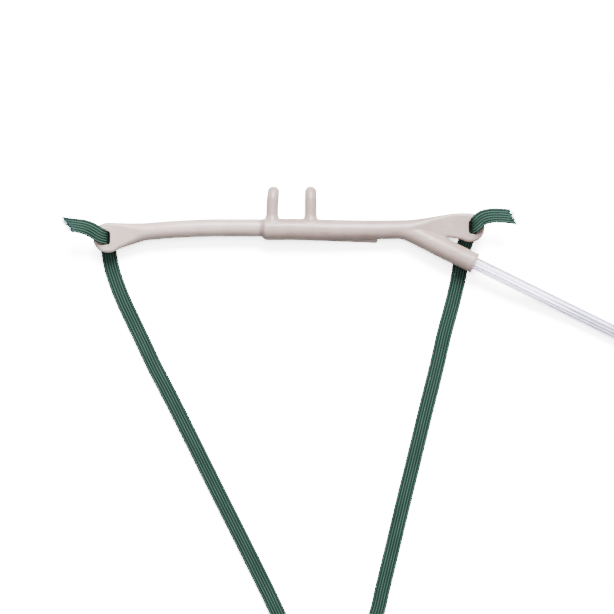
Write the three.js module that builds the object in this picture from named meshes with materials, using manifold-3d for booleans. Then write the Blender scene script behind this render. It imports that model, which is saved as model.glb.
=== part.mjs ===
// Nasal oxygen cannula of the over-the-head kind, lying on a flat surface with its prongs
// turned away from the lip pad. Millimetres, +Z up. The origin is on the flat underside of
// the lip pad, midway between the prongs. +X runs along the facepiece towards the branch
// that takes the supply tubing, and +Y is the way the prongs point.

import * as THREE from 'three';
import { LoftGeometry } from 'three/addons/geometries/LoftGeometry.js';
import { mergeVertices } from 'three/addons/utils/BufferGeometryUtils.js';
import Module from 'manifold-3d';

const wasm = await Module();
wasm.setup();

const { degToRad, lerp, smoothstep } = THREE.MathUtils;

// Gap kept between neighbouring pieces.
const CLEARANCE = 0.3;

// Lip tube: the round middle of the facepiece, which carries the prongs.
const BODY_OD = 8.6;
const BODY_END_OD = 7.5; // where the branch leaves it
const BODY_SAG = 0.3; // how far it bows towards the mouth, right of the prongs
const WALL = 1.4;

// Lip pad: a thin flange moulded under the lip tube, flat underneath.
const PAD_LEFT = -9.6;
const PAD_RIGHT = 34.7;
const PAD_FRONT = -5.45;
const PAD_BACK = 3.4;
const PAD_SKEW = 1.7; // the front edge comes in by this much at its left end
const PAD_THICKNESS = 0.9;
const PAD_BELOW = 0.3; // pad left under the lowest line of the tube
const PAD_CORNER = 0.8;
const AXIS_Z = BODY_OD / 2 + PAD_BELOW;

// Plain arm to the left of the prongs.
const ARM_OD = 7.0;
const SHOULDER_X = -10.2;
const SHOULDER_LENGTH = 3.4;
const SHOULDER_START = SHOULDER_X - SHOULDER_LENGTH / 2;
const SHOULDER_END = SHOULDER_X + SHOULDER_LENGTH / 2;
const ARM_RISE = 0.6;
const ARM_DROOP = 1.52;
const ARM_DROOP_START = -30;
const ARM_DROOP_POWER = 1.6;
const ARM_END = -58;
const ARM_LUMEN_END = -54;

// Prongs: two soft nozzles that curve down at their tips.
const PRONG_PITCH = 15.5;
const PRONG_OD = 4.7;
const PRONG_BORE = 3.0;
const PRONG_REACH = 17.75; // from the lip tube's axis to the furthest point of a tip
const PRONG_BEND_RADIUS = 5.2;
const PRONG_BEND = degToRad(65);
const LEFT_PRONG_LEAN = 0.7; // how far the left tip leans towards the right one
const LEAN_BEFORE_BEND = 0.35; // share of the lean that comes before the bend

// Tabs: the flattened ends of the facepiece, each with an eyelet for the strap.
const LEFT_TAB_RADIUS = 6.1;
const RIGHT_TAB_RADIUS = 5.8;
const TAB_THICKNESS = 2.4;
const TAB_LIFT = 1.2;
const TAB_Z = AXIS_Z + TAB_LIFT;
const LEFT_TAB = new THREE.Vector2(-73.2, -3.4);
const RIGHT_TAB = new THREE.Vector2(71.5, 0.6);
const RIGHT_TAB_BOW = 0.95;
const LEFT_TAB_FLARE = 1.2; // power of the share along the tab by which it widens
const RIGHT_TAB_FLARE = 1.8;
const LEFT_TAB_FLAT = 0.9; // share along the tab at which it is fully flat
const RIGHT_TAB_FLAT = 0.7;

// Head strap: flat ribbed elastic.
const STRAP_WIDTH = 6.2;
const STRAP_THICKNESS = 1.1;
const STRAP_EDGE = 0.25;

// Eyelets.
const EYELET_PLAY = 0.4; // beside each edge of the strap
const EYELET_WIDTH = 4.8;
const EYELET_LENGTH = STRAP_WIDTH + 2 * EYELET_PLAY;
const EYELET_CORNER = 1.6;
const EYELET_RIM = 1.2;
const EYELET_RIM_RISE = 0.25;
const LEFT_EYELET_SHIFT = new THREE.Vector2(-1.5, 0.3); // from the tab's centre
const RIGHT_EYELET_SHIFT = new THREE.Vector2(1.7, 0.6);
const LEFT_EYELET = eyeletCentre(LEFT_TAB, LEFT_EYELET_SHIFT);
const RIGHT_EYELET = eyeletCentre(RIGHT_TAB, RIGHT_EYELET_SHIFT);

// Supply tubing.
const TUBING_OD = 5.2;
const TUBING_SIDES = 12;

// Branch: the inlet that leaves the facepiece slantwise and holds the tubing in its socket.
const BRANCH_ROOT = new THREE.Vector3(45.3, 0, AXIS_Z);
const BRANCH_ANGLE = degToRad(26);
const BRANCH_LENGTH = 31.3;
const BRANCH_RISE = 1.4;
const BRANCH_NECK_OD = 5.3;
const BRANCH_OD = 8.1;
const BRANCH_TAPER_LENGTH = 17; // over which the neck swells to the full size
const BRANCH_RIM = 0.15;
const BRANCH_RIM_LENGTH = 1.6;
const BRANCH_RIM_ROUND = 0.35;
const SOCKET_DEPTH = 10.5;
const SOCKET_BORE = TUBING_OD + 2 * CLEARANCE;
const BRANCH_LUMEN = 3.6;
const CUT_PAST = 2; // how far a cut runs on past the face that it opens

// Web: fills the notch between the branch and the right tab.
const WEB_START = 59;
const WEB_END = 62.4;
const WEB_HOLLOW = 1.1; // how far its free edge curves in
const WEB_THICKNESS = 2.2;
const WEB_OVERLAP = 0.8; // how far it runs into the tab and the branch

// Coil: the spare tubing, wound beside the facepiece and held by two ties.
const SUPPLY_REACH = 89.8; // from the branch's mouth to the first turn
const COIL_MEAN_RADIUS = 27.3;
const COIL_COLUMNS = 3;
const COIL_LAYERS = 4;
const COIL_SEGMENTS = 40;
const TIE_THICKNESS = 0.7;
const TIE_WIDTH = 5;
const COIL_BOTTOM = TIE_THICKNESS + CLEARANCE;
const COIL_HEIGHT = COIL_LAYERS * TUBING_OD;
const COIL_OUTER_TURN = COIL_MEAN_RADIUS + (COIL_COLUMNS - 1) / 2 * TUBING_OD;
const COIL_OUTER = COIL_OUTER_TURN + TUBING_OD / 2;
const COIL_INNER = COIL_MEAN_RADIUS - COIL_COLUMNS / 2 * TUBING_OD;

// Tubing connector: a soft funnel that pushes onto a gas outlet.
const CONNECTOR_LENGTH = 35;
const CONNECTOR_MOUTH_OD = 11;
const CONNECTOR_MOUTH_BORE = 7.6;
const CONNECTOR_NECK_OD = 7.8;
const CONNECTOR_NECK_LENGTH = 13;
const CONNECTOR_SOCKET_DEPTH = 10.5;
const CONNECTOR_LUMEN = 3.6;
const CONNECTOR_LUMEN_LENGTH = 2.5; // from the socket to the start of the mouth's bore
const CONNECTOR_RIM_LENGTH = 3; // straight stretch behind the mouth
const CONNECTOR_EDGE = 0.4; // bevel round its near end
const TAIL_REACH = 52; // from the last turn to the connector's near end

// Materials.
const vinyl = new THREE.MeshStandardMaterial({ color: 0xd6cecb, roughness: 0.45, metalness: 0 });
const clearVinyl = new THREE.MeshStandardMaterial({
  color: 0xe6e6f0,
  roughness: 0.15,
  metalness: 0,
  transparent: true,
  opacity: 0.45,
});
const elastic = new THREE.MeshStandardMaterial({ color: 0x2f6b56, roughness: 0.9, metalness: 0 });
const bandVinyl = new THREE.MeshStandardMaterial({ color: 0xf0f0ec, roughness: 0.6, metalness: 0 });

// Closed solid of a geometry, its shared corners merged and its slivers of no area left out.
function toSolid(geometry) {
  const plain = new THREE.BufferGeometry().copy(geometry);
  for (const name of Object.keys(plain.attributes)) {
    if (name !== 'position') plain.deleteAttribute(name);
  }
  const merged = mergeVertices(plain, 1e-4);
  const corners = merged.index.array;
  const kept = [];
  for (let i = 0; i < corners.length; i += 3) {
    const [a, b, c] = corners.slice(i, i + 3);
    if (a !== b && b !== c && c !== a) kept.push(a, b, c);
  }
  return new wasm.Manifold(new wasm.Mesh({
    numProp: 3,
    vertProperties: new Float32Array(merged.attributes.position.array),
    triVerts: new Uint32Array(kept),
  }));
}

// Geometry of a solid.
function toGeometry(solid) {
  const mesh = solid.getMesh();
  const geometry = new THREE.BufferGeometry();
  geometry.setAttribute('position', new THREE.BufferAttribute(mesh.vertProperties, 3));
  geometry.setIndex(new THREE.BufferAttribute(mesh.triVerts, 1));
  geometry.computeVertexNormals();
  return geometry;
}

function union(solids) {
  return solids.reduce((whole, solid) => whole.add(solid));
}

function namedMesh(name, geometry, material) {
  const mesh = new THREE.Mesh(geometry, material);
  mesh.name = name;
  return mesh;
}

// Rounded rectangle about the origin.
function roundedRectangle(width, length, corner) {
  const x = width / 2;
  const y = length / 2;
  const path = new THREE.Shape();
  path.moveTo(x, -y + corner);
  path.lineTo(x, y - corner);
  path.absarc(x - corner, y - corner, corner, 0, Math.PI / 2);
  path.lineTo(-x + corner, y);
  path.absarc(-x + corner, y - corner, corner, Math.PI / 2, Math.PI);
  path.lineTo(-x, -y + corner);
  path.absarc(-x + corner, -y + corner, corner, Math.PI, Math.PI * 1.5);
  path.lineTo(x - corner, -y);
  path.absarc(x - corner, -y + corner, corner, Math.PI * 1.5, Math.PI * 2);
  return path;
}

// Regular polygon that stands for a round section.
function roundSection(diameter, sides) {
  const corners = Array.from({ length: sides }, (_, i) => {
    const turn = (i + 0.5) / sides * Math.PI * 2;
    return new THREE.Vector2(Math.cos(turn), Math.sin(turn)).multiplyScalar(diameter / 2);
  });
  return new THREE.Shape(corners);
}

function sweep(section, curve, steps) {
  return new THREE.ExtrudeGeometry(section, { steps, extrudePath: curve, bevelEnabled: false });
}

// Centre and half sizes of the facepiece's section at x, between the centres of its tabs.
function bodySection(x) {
  const armRadius = ARM_OD / 2;
  const endRadius = BODY_END_OD / 2;
  const flat = TAB_THICKNESS / 2;
  if (x < ARM_END) {
    const share = (ARM_END - x) / (ARM_END - LEFT_TAB.x);
    return {
      y: lerp(ARM_RISE - ARM_DROOP, LEFT_TAB.y, share),
      z: lerp(AXIS_Z, TAB_Z, smoothstep(share, 0, 1)),
      width: lerp(armRadius, LEFT_TAB_RADIUS, share ** LEFT_TAB_FLARE),
      height: lerp(armRadius, flat, smoothstep(share, 0, LEFT_TAB_FLAT)),
    };
  }
  if (x > BRANCH_ROOT.x) {
    const share = (x - BRANCH_ROOT.x) / (RIGHT_TAB.x - BRANCH_ROOT.x);
    return {
      y: lerp(0, RIGHT_TAB.y, share) + RIGHT_TAB_BOW * Math.sin(Math.PI * share ** RIGHT_TAB_FLARE),
      z: lerp(AXIS_Z, TAB_Z, smoothstep(share, 0, 1)),
      width: lerp(endRadius, RIGHT_TAB_RADIUS, share ** RIGHT_TAB_FLARE),
      height: lerp(endRadius, flat, smoothstep(share, 0, RIGHT_TAB_FLAT)),
    };
  }
  const onBody = smoothstep(x, SHOULDER_START, SHOULDER_END);
  const droop = Math.max(0, ARM_DROOP_START - x) / (ARM_DROOP_START - ARM_END);
  const bodyShare = Math.max(0, x) / BRANCH_ROOT.x;
  const bodyRadius = lerp(BODY_OD / 2, endRadius, smoothstep(bodyShare, 0, 1));
  const armY = ARM_RISE - ARM_DROOP * droop ** ARM_DROOP_POWER;
  const radius = lerp(armRadius, bodyRadius, onBody);
  return {
    y: lerp(armY, -BODY_SAG * Math.sin(Math.PI * bodyShare), onBody),
    z: AXIS_Z,
    width: radius,
    height: radius,
  };
}

// Section at the round end of a tab: side is -1 at the left one and 1 at the right one.
function tabEndSection(tab, radius, side, turn) {
  const width = radius * Math.cos(turn);
  return {
    x: tab.x + side * radius * Math.sin(turn),
    y: tab.y,
    z: TAB_Z,
    width,
    height: Math.min(TAB_THICKNESS / 2, width),
  };
}

// Loft through sections across X: two half rounds joined by flats, or a plain round.
function loftAcrossX(sections, sides) {
  const rings = sections.map(({ x, y, z, width, height }) => {
    const flat = Math.max(0, width - height);
    return Array.from({ length: sides }, (_, i) => {
      const turn = (i + 0.5) / sides * Math.PI * 2;
      const across = Math.sign(Math.cos(turn)) * flat + height * Math.cos(turn);
      return new THREE.Vector3(x, y + across, z + height * Math.sin(turn));
    });
  });
  return new LoftGeometry(rings, { capStart: true, capEnd: true });
}

// Places spread evenly from one x to another, the last one left out.
function placesBetween(from, to, count) {
  return Array.from({ length: count }, (_, i) => lerp(from, to, i / count));
}

// Lip tube, both arms and the two tabs.
function facepieceTube() {
  const tipTurns = [80, 64, 46, 24].map(degToRad);
  const places = [
    ...placesBetween(LEFT_TAB.x, ARM_END, 6),
    ...placesBetween(ARM_END, ARM_DROOP_START, 4),
    ...placesBetween(ARM_DROOP_START, SHOULDER_START, 2),
    ...placesBetween(SHOULDER_START, SHOULDER_END, 4),
    ...placesBetween(SHOULDER_END, BRANCH_ROOT.x, 6),
    ...placesBetween(BRANCH_ROOT.x, RIGHT_TAB.x, 8),
    RIGHT_TAB.x,
  ];
  const sections = [
    ...tipTurns.map((turn) => tabEndSection(LEFT_TAB, LEFT_TAB_RADIUS, -1, turn)),
    ...places.map((x) => ({ x, ...bodySection(x) })),
    ...tipTurns.reverse().map((turn) => tabEndSection(RIGHT_TAB, RIGHT_TAB_RADIUS, 1, turn)),
  ];
  return toSolid(loftAcrossX(sections, 16));
}

// Space inside the lip tube and the left arm.
function facepieceLumen() {
  const places = [
    ...placesBetween(ARM_LUMEN_END, ARM_DROOP_START, 3),
    ...placesBetween(ARM_DROOP_START, SHOULDER_START, 2),
    ...placesBetween(SHOULDER_START, SHOULDER_END, 2),
    ...placesBetween(SHOULDER_END, BRANCH_ROOT.x, 5),
    BRANCH_ROOT.x + 1,
  ];
  const sections = places.map((x) => {
    const { y, z, width } = bodySection(x);
    return { x, y, z, width: width - WALL, height: width - WALL };
  });
  return toSolid(loftAcrossX(sections, 12));
}

// Path of a prong: straight away from the lip tube, then round its bend.
function prongPath(x, lean, overrun) {
  const rimReach = PRONG_OD / 2 * Math.sin(PRONG_BEND);
  const bendReach = PRONG_BEND_RADIUS * Math.sin(PRONG_BEND);
  const bendStart = PRONG_REACH - rimReach - bendReach;
  const points = [
    new THREE.Vector3(x, 0, AXIS_Z),
    new THREE.Vector3(x + lean / 6, bendStart / 2, AXIS_Z),
  ];
  for (const share of [0, 1 / 3, 2 / 3, 1]) {
    const turn = PRONG_BEND * share;
    const out = bendStart + PRONG_BEND_RADIUS * Math.sin(turn);
    const drop = PRONG_BEND_RADIUS * (1 - Math.cos(turn));
    points.push(new THREE.Vector3(x + lean * lerp(LEAN_BEFORE_BEND, 1, share), out, AXIS_Z - drop));
  }
  if (overrun > 0) {
    const past = points.at(-1).clone().addScaledVector(
      new THREE.Vector3(0, Math.cos(PRONG_BEND), -Math.sin(PRONG_BEND)),
      overrun,
    );
    points.push(past);
  }
  return new THREE.CatmullRomCurve3(points, false, 'centripetal');
}

function prong(x, lean) {
  return toSolid(sweep(roundSection(PRONG_OD, 14), prongPath(x, lean, 0), 9));
}

function prongBore(x, lean) {
  return toSolid(sweep(roundSection(PRONG_BORE, 10), prongPath(x, lean, CUT_PAST), 10));
}

// The flange under the lip tube.
function lipPad() {
  const outline = new THREE.Shape();
  const frontLeft = PAD_FRONT + PAD_SKEW;
  outline.moveTo(PAD_LEFT + PAD_CORNER, PAD_BACK);
  outline.quadraticCurveTo(PAD_LEFT, PAD_BACK, PAD_LEFT, PAD_BACK - PAD_CORNER);
  outline.lineTo(PAD_LEFT, frontLeft + PAD_CORNER);
  outline.quadraticCurveTo(PAD_LEFT, frontLeft, PAD_LEFT + PAD_CORNER, frontLeft);
  outline.lineTo(PAD_RIGHT - PAD_CORNER, PAD_FRONT);
  outline.quadraticCurveTo(PAD_RIGHT, PAD_FRONT, PAD_RIGHT, PAD_FRONT + PAD_CORNER);
  outline.lineTo(PAD_RIGHT, PAD_BACK - PAD_CORNER);
  outline.quadraticCurveTo(PAD_RIGHT, PAD_BACK, PAD_RIGHT - PAD_CORNER, PAD_BACK);
  return toSolid(new THREE.ExtrudeGeometry(outline, {
    depth: PAD_THICKNESS,
    bevelEnabled: false,
    curveSegments: 3,
  }));
}

// Middle of an eyelet, from the middle of its tab.
function eyeletCentre(tab, shift) {
  return new THREE.Vector3(tab.x + shift.x, tab.y + shift.y, TAB_Z);
}

// A straight prism through the tab about an eyelet's centre.
function eyeletPrism(centre, margin, height) {
  const outline = roundedRectangle(
    EYELET_WIDTH + 2 * margin,
    EYELET_LENGTH + 2 * margin,
    EYELET_CORNER + margin,
  );
  const prism = new THREE.ExtrudeGeometry(outline, {
    depth: height,
    bevelEnabled: false,
    curveSegments: 5,
  });
  prism.translate(centre.x, centre.y, centre.z - height / 2);
  return toSolid(prism);
}

// Direction of the branch's axis, and the place at a distance along it from its root.
const branchHeading = new THREE.Vector3(
  Math.cos(BRANCH_ANGLE) * BRANCH_LENGTH,
  -Math.sin(BRANCH_ANGLE) * BRANCH_LENGTH,
  BRANCH_RISE,
).normalize();

function branchPlace(distance) {
  return BRANCH_ROOT.clone().addScaledVector(branchHeading, distance);
}

// A turned solid about the branch's axis: profile points are [radius, distance from its root].
function turnedOnBranch(profile, segments) {
  const turned = new THREE.LatheGeometry(profile.map(([r, s]) => new THREE.Vector2(r, s)), segments);
  const upright = new THREE.Vector3(0, 1, 0);
  turned.applyQuaternion(new THREE.Quaternion().setFromUnitVectors(upright, branchHeading));
  turned.translate(BRANCH_ROOT.x, BRANCH_ROOT.y, BRANCH_ROOT.z);
  return toSolid(turned);
}

// Swell of the branch: [share of its taper's length, share of its growth in size].
const BRANCH_SWELL = [[0, 0], [0.18, 0.1], [0.31, 0.45], [0.45, 0.75], [0.68, 0.93], [1, 1]];

function branchOutside() {
  const full = BRANCH_OD / 2;
  const rim = full + BRANCH_RIM;
  const rimStart = BRANCH_LENGTH - BRANCH_RIM_LENGTH;
  const swell = BRANCH_SWELL.map(([along, growth]) => (
    [lerp(BRANCH_NECK_OD / 2, full, growth), along * BRANCH_TAPER_LENGTH]
  ));
  return turnedOnBranch([
    [0, 0],
    ...swell,
    [full, rimStart - BRANCH_RIM_ROUND],
    [rim, rimStart],
    [rim, BRANCH_LENGTH - BRANCH_RIM_ROUND],
    [rim - BRANCH_RIM_ROUND, BRANCH_LENGTH],
    [0, BRANCH_LENGTH],
  ], 20);
}

function branchInside() {
  const socketStart = BRANCH_LENGTH - SOCKET_DEPTH;
  const past = BRANCH_LENGTH + CUT_PAST;
  return turnedOnBranch([
    [0, 0],
    [BRANCH_LUMEN / 2, 0],
    [BRANCH_LUMEN / 2, socketStart],
    [SOCKET_BORE / 2, socketStart],
    [SOCKET_BORE / 2, past],
    [0, past],
  ], 24);
}

// The web, a flat plate whose two long edges lie inside the tab and the branch.
function branchWeb() {
  const tabEdge = (x) => bodySection(x).y - bodySection(x).width + WEB_OVERLAP;
  const branchEdge = (x) => {
    const axisY = (BRANCH_ROOT.x - x) * Math.tan(BRANCH_ANGLE);
    return axisY + BRANCH_OD / 2 / Math.cos(BRANCH_ANGLE) - WEB_OVERLAP;
  };
  const outline = new THREE.Shape();
  outline.moveTo(WEB_START, branchEdge(WEB_START));
  outline.lineTo(WEB_END, branchEdge(WEB_END));
  const edgeMiddle = lerp(branchEdge(WEB_END), tabEdge(WEB_END), 0.5);
  outline.quadraticCurveTo(WEB_END - 2 * WEB_HOLLOW, edgeMiddle, WEB_END, tabEdge(WEB_END));
  outline.lineTo(WEB_START, tabEdge(WEB_START));
  const web = new THREE.ExtrudeGeometry(outline, {
    depth: WEB_THICKNESS,
    bevelEnabled: false,
    curveSegments: 4,
  });
  const branchZ = branchPlace((WEB_END - BRANCH_ROOT.x) / Math.cos(BRANCH_ANGLE)).z;
  web.translate(0, 0, lerp(bodySection(WEB_END).z, branchZ, 0.5) - WEB_THICKNESS / 2);
  return toSolid(web);
}

// The facepiece: one soft moulding with its lumen open at the prongs and at the socket.
function facepiece() {
  const half = PRONG_PITCH / 2;
  const outside = union([
    facepieceTube(),
    lipPad(),
    prong(-half, LEFT_PRONG_LEAN),
    prong(half, 0),
    branchOutside(),
    branchWeb(),
    eyeletPrism(LEFT_EYELET, EYELET_RIM, TAB_THICKNESS + 2 * EYELET_RIM_RISE),
    eyeletPrism(RIGHT_EYELET, EYELET_RIM, TAB_THICKNESS + 2 * EYELET_RIM_RISE),
  ]);
  const inside = union([
    facepieceLumen(),
    prongBore(-half, LEFT_PRONG_LEAN),
    prongBore(half, 0),
    branchInside(),
    eyeletPrism(LEFT_EYELET, 0, TAB_THICKNESS * 3),
    eyeletPrism(RIGHT_EYELET, 0, TAB_THICKNESS * 3),
  ]);
  return namedMesh('facepiece', toGeometry(outside.subtract(inside)), vinyl);
}

// Route of the tubing from its seat in the socket to the first turn of the coil:
// [distance past the branch's mouth, height of the tubing's axis above the surface].
const SUPPLY_ROUTE = [
  [-5, 5.78],
  [0, 6.0],
  [5, 6.17],
  [10, 6.2],
  [16, 5.85],
  [23, 5.1],
  [30, 4.2],
  [37, 3.45],
  [44, 2.95],
  [51, 2.7],
  [58, 2.68],
  [65, 2.8],
  [72, 3.05],
  [79, 3.35],
  [85, 3.55],
];

// Route of the tubing from the last turn to the connector:
// [distance past the coil, height of the tubing's axis above the coil's foot].
const TAIL_ROUTE = [
  [6, 18.15],
  [12, 17.5],
  [18, 16.0],
  [24, 13.7],
  [30, 10.9],
  [36, 8.2],
  [42, 6.0],
  [47, 4.75],
];

const surfaceHeading = new THREE.Vector3(Math.cos(BRANCH_ANGLE), -Math.sin(BRANCH_ANGLE), 0);
const mouth = branchPlace(BRANCH_LENGTH);
const firstTurn = mouth.clone().addScaledVector(surfaceHeading, SUPPLY_REACH);
firstTurn.z = COIL_BOTTOM + TUBING_OD / 2;
const coilCentre = firstTurn.clone().addScaledVector(
  new THREE.Vector3(Math.sin(BRANCH_ANGLE), Math.cos(BRANCH_ANGLE), 0),
  COIL_OUTER_TURN,
);
const lastTurn = new THREE.Vector3(
  coilCentre.x + COIL_OUTER_TURN,
  coilCentre.y,
  COIL_BOTTOM + COIL_HEIGHT - TUBING_OD / 2,
);
const connectorZ = CONNECTOR_MOUTH_OD / 2;

// The round solid of the coil, grown by a margin: its turns lie inside it.
function coilRing(margin, segments) {
  const inner = COIL_INNER - margin;
  const outer = COIL_OUTER + margin;
  const low = COIL_BOTTOM - margin;
  const high = COIL_BOTTOM + COIL_HEIGHT + margin;
  const cut = TUBING_OD / 2 * (1 - Math.SQRT1_2);
  const side = TUBING_OD / 2;
  const profile = [
    [inner + side, low],
    [outer - side, low],
    [outer - cut, low + cut],
    [outer, low + side],
    [outer, high - side],
    [outer - cut, high - cut],
    [outer - side, high],
    [inner + side, high],
    [inner + cut, high - cut],
    [inner, high - side],
    [inner, low + side],
    [inner + cut, low + cut],
    [inner + side, low],
  ];
  const ring = new THREE.LatheGeometry(profile.map(([r, z]) => new THREE.Vector2(r, z)), segments);
  ring.rotateX(Math.PI / 2);
  ring.translate(coilCentre.x, coilCentre.y, 0);
  return ring;
}

// Solid disc over the coil's whole outline, which trims the tubing where it joins a turn.
function coilDisc() {
  const reach = COIL_OUTER + CLEARANCE;
  const top = COIL_BOTTOM + COIL_HEIGHT + TUBING_OD;
  const profile = [[0, -TUBING_OD], [reach, -TUBING_OD], [reach, top], [0, top]];
  const disc = new THREE.LatheGeometry(profile.map(([r, z]) => new THREE.Vector2(r, z)), COIL_SEGMENTS * 2);
  disc.rotateX(Math.PI / 2);
  disc.translate(coilCentre.x, coilCentre.y, 0);
  return toSolid(disc);
}

function tubing(name, points, steps) {
  const curve = new THREE.CatmullRomCurve3(points, false, 'centripetal');
  const solid = toSolid(sweep(roundSection(TUBING_OD, TUBING_SIDES), curve, steps));
  return namedMesh(name, toGeometry(solid.subtract(coilDisc())), clearVinyl);
}

function supplyTubing() {
  const seat = branchPlace(BRANCH_LENGTH - SOCKET_DEPTH + CLEARANCE);
  const points = SUPPLY_ROUTE.map(([distance, z]) => {
    const place = mouth.clone().addScaledVector(surfaceHeading, distance);
    return place.setZ(z);
  });
  return tubing('supply_tubing', [seat, ...points, firstTurn], 18);
}

function tubingTail() {
  const start = lastTurn.clone();
  const points = TAIL_ROUTE.map(([distance, z]) => (
    new THREE.Vector3(lastTurn.x, lastTurn.y + distance, z + COIL_BOTTOM)
  ));
  const seatY = lastTurn.y + TAIL_REACH + CONNECTOR_SOCKET_DEPTH - CLEARANCE;
  const seated = [lastTurn.y + TAIL_REACH, lerp(lastTurn.y + TAIL_REACH, seatY, 0.4), seatY];
  const socket = seated.map((y) => new THREE.Vector3(lastTurn.x, y, connectorZ));
  return tubing('tubing_tail', [start, ...points, ...socket], 14);
}

function tubingCoil() {
  const ring = toSolid(coilRing(0, COIL_SEGMENTS));
  return namedMesh('tubing_coil', toGeometry(ring), clearVinyl);
}

// A flat band round the whole section of the coil.
function coilTie(name, side) {
  const bulge = COIL_INNER - Math.sqrt(COIL_INNER ** 2 - (TIE_WIDTH / 2) ** 2);
  const width = COIL_OUTER - COIL_INNER + bulge + 2 * CLEARANCE;
  const height = COIL_HEIGHT + 2 * CLEARANCE;
  const corner = TUBING_OD / 2;
  const outline = roundedRectangle(
    width + 2 * TIE_THICKNESS,
    height + 2 * TIE_THICKNESS,
    corner + TIE_THICKNESS,
  );
  outline.holes.push(roundedRectangle(width, height, corner));
  const band = new THREE.ExtrudeGeometry(outline, {
    depth: TIE_WIDTH,
    bevelEnabled: false,
    curveSegments: 4,
  });
  band.translate(0, 0, -TIE_WIDTH / 2);
  band.rotateX(Math.PI / 2);
  band.rotateZ(Math.PI / 2);
  const mesh = namedMesh(name, toGeometry(toSolid(band)), bandVinyl);
  mesh.position.set(
    coilCentre.x,
    coilCentre.y + side * (COIL_MEAN_RADIUS - bulge / 2),
    COIL_BOTTOM + COIL_HEIGHT / 2,
  );
  return mesh;
}

// The funnel at the tubing's far end, lying on the edge of its mouth.
function tubingConnector() {
  const flareEnd = lerp(CONNECTOR_NECK_LENGTH, CONNECTOR_LENGTH, 0.5);
  const mouthRadius = CONNECTOR_MOUTH_OD / 2;
  const neckRadius = CONNECTOR_NECK_OD / 2;
  const socketRadius = TUBING_OD / 2 + CLEARANCE;
  const lumenRadius = CONNECTOR_LUMEN / 2;
  const boreStart = CONNECTOR_SOCKET_DEPTH + CONNECTOR_LUMEN_LENGTH;
  const profile = [
    [socketRadius, 0],
    [neckRadius - CONNECTOR_EDGE, 0],
    [neckRadius, CONNECTOR_EDGE],
    [neckRadius, CONNECTOR_NECK_LENGTH],
    [lerp(neckRadius, mouthRadius, 0.3), lerp(CONNECTOR_NECK_LENGTH, flareEnd, 0.4)],
    [lerp(neckRadius, mouthRadius, 0.75), flareEnd],
    [mouthRadius, CONNECTOR_LENGTH - CONNECTOR_RIM_LENGTH],
    [mouthRadius, CONNECTOR_LENGTH],
    [CONNECTOR_MOUTH_BORE / 2, CONNECTOR_LENGTH],
    [lerp(lumenRadius, CONNECTOR_MOUTH_BORE / 2, 0.55), lerp(boreStart, CONNECTOR_LENGTH, 0.25)],
    [lumenRadius, boreStart],
    [lumenRadius, CONNECTOR_SOCKET_DEPTH],
    [socketRadius, CONNECTOR_SOCKET_DEPTH],
    [socketRadius, 0],
  ];
  const funnel = new THREE.LatheGeometry(profile.map(([r, y]) => new THREE.Vector2(r, y)), 24);
  const mesh = namedMesh('tubing_connector', toGeometry(toSolid(funnel)), clearVinyl);
  mesh.position.set(lastTurn.x, lastTurn.y + TAIL_REACH, connectorZ);
  return mesh;
}

// Route of the head strap, from the end of its left tail to the end of its right one.
// Each row is a place on its middle line and the way its width points there.
// Through the left eyelet, measured from the eyelet's centre:
const LEFT_THREAD = [
  [-13.3, 4.7, 5.5, 0.2, 0.85, -0.5],
  [-10.3, 4.3, 4.9, 0.2, 0.87, -0.45],
  [-7.2, 3.7, 4.1, 0.26, 0.9, -0.3],
  [-4.6, 2.6, 3.15, 0.34, 0.93, -0.1],
  [-2.8, 1.5, 2.6, 0.36, 0.93, 0],
  [-1.3, 0.6, 2.3, 0.25, 1, 0],
  [0, 0.1, 1.5, 0.1, 1, 0],
  [0.7, 0, 0, 0, 1, 0],
  [0.75, -0.15, -1.4, 0.2, 1, 0],
  [0.85, -0.75, -2.7, 0.8, 0.9, -0.4],
  [0.95, -2.3, -3.8, 1, 0.22, -0.3],
  [1.35, -4.8, -4.5, 1, 0.05, -0.12],
  [1.75, -7.8, -5.0, 1, 0, -0.04],
];

// Down to the loop and back up:
const STRAP_LOOP = [
  [-72.3, -14.6, 0.62, 1, 0, 0],
  [-71.35, -18.0, 0.62, 1, 0, 0],
  [-67.95, -27.2, 0.62, 1, 0, 0],
  [-63.7, -36.4, 0.62, 1, 0, 0],
  [-59.3, -45.6, 0.62, 1, 0, 0],
  [-55.0, -54.8, 0.62, 1, 0, 0],
  [-50.2, -64.0, 0.62, 1, 0, 0],
  [-45.5, -73.2, 0.62, 1, 0, 0],
  [-36.6, -91.1, 0.62, 1, 0, 0],
  [-27.7, -109.0, 0.62, 1, 0, 0],
  [-18.7, -126.9, 0.62, 1, 0, 0],
  [-9.8, -144.8, 0.74, 1, 0.5, -0.04],
  [-3.1, -158.3, 1.0, 0.87, 0.49, -0.12],
  [1.9, -164.7, 1.85, 0.62, 0.68, -0.4],
  [9.0, -168.5, 2.7, 0.25, 0.68, -0.72],
  [17.1, -169.3, 2.9, -0.07, 0.57, -0.82],
  [24.8, -166.7, 2.7, -0.38, 0.62, -0.72],
  [30.8, -161.4, 1.85, -0.7, 0.6, -0.4],
  [34.2, -154.1, 1.0, -0.95, 0.3, -0.12],
  [36.6, -144.2, 0.76, -1, 0.24, -0.04],
  [41.0, -126.0, 0.62, -1, 0, 0],
  [45.2, -108.5, 0.62, -1, 0, 0],
  [49.5, -91.0, 0.62, -1, 0, 0],
  [53.8, -73.3, 0.62, -1, 0, 0],
  [58.5, -54.4, 0.62, -1, 0, 0],
  [61.4, -41.8, 0.62, -1, 0, 0],
  [64.8, -29.1, 0.62, -1, 0, 0],
  [67.2, -18.6, 0.62, -1, 0, 0],
  [67.8, -14.6, 0.62, -1, 0, 0],
];

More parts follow.
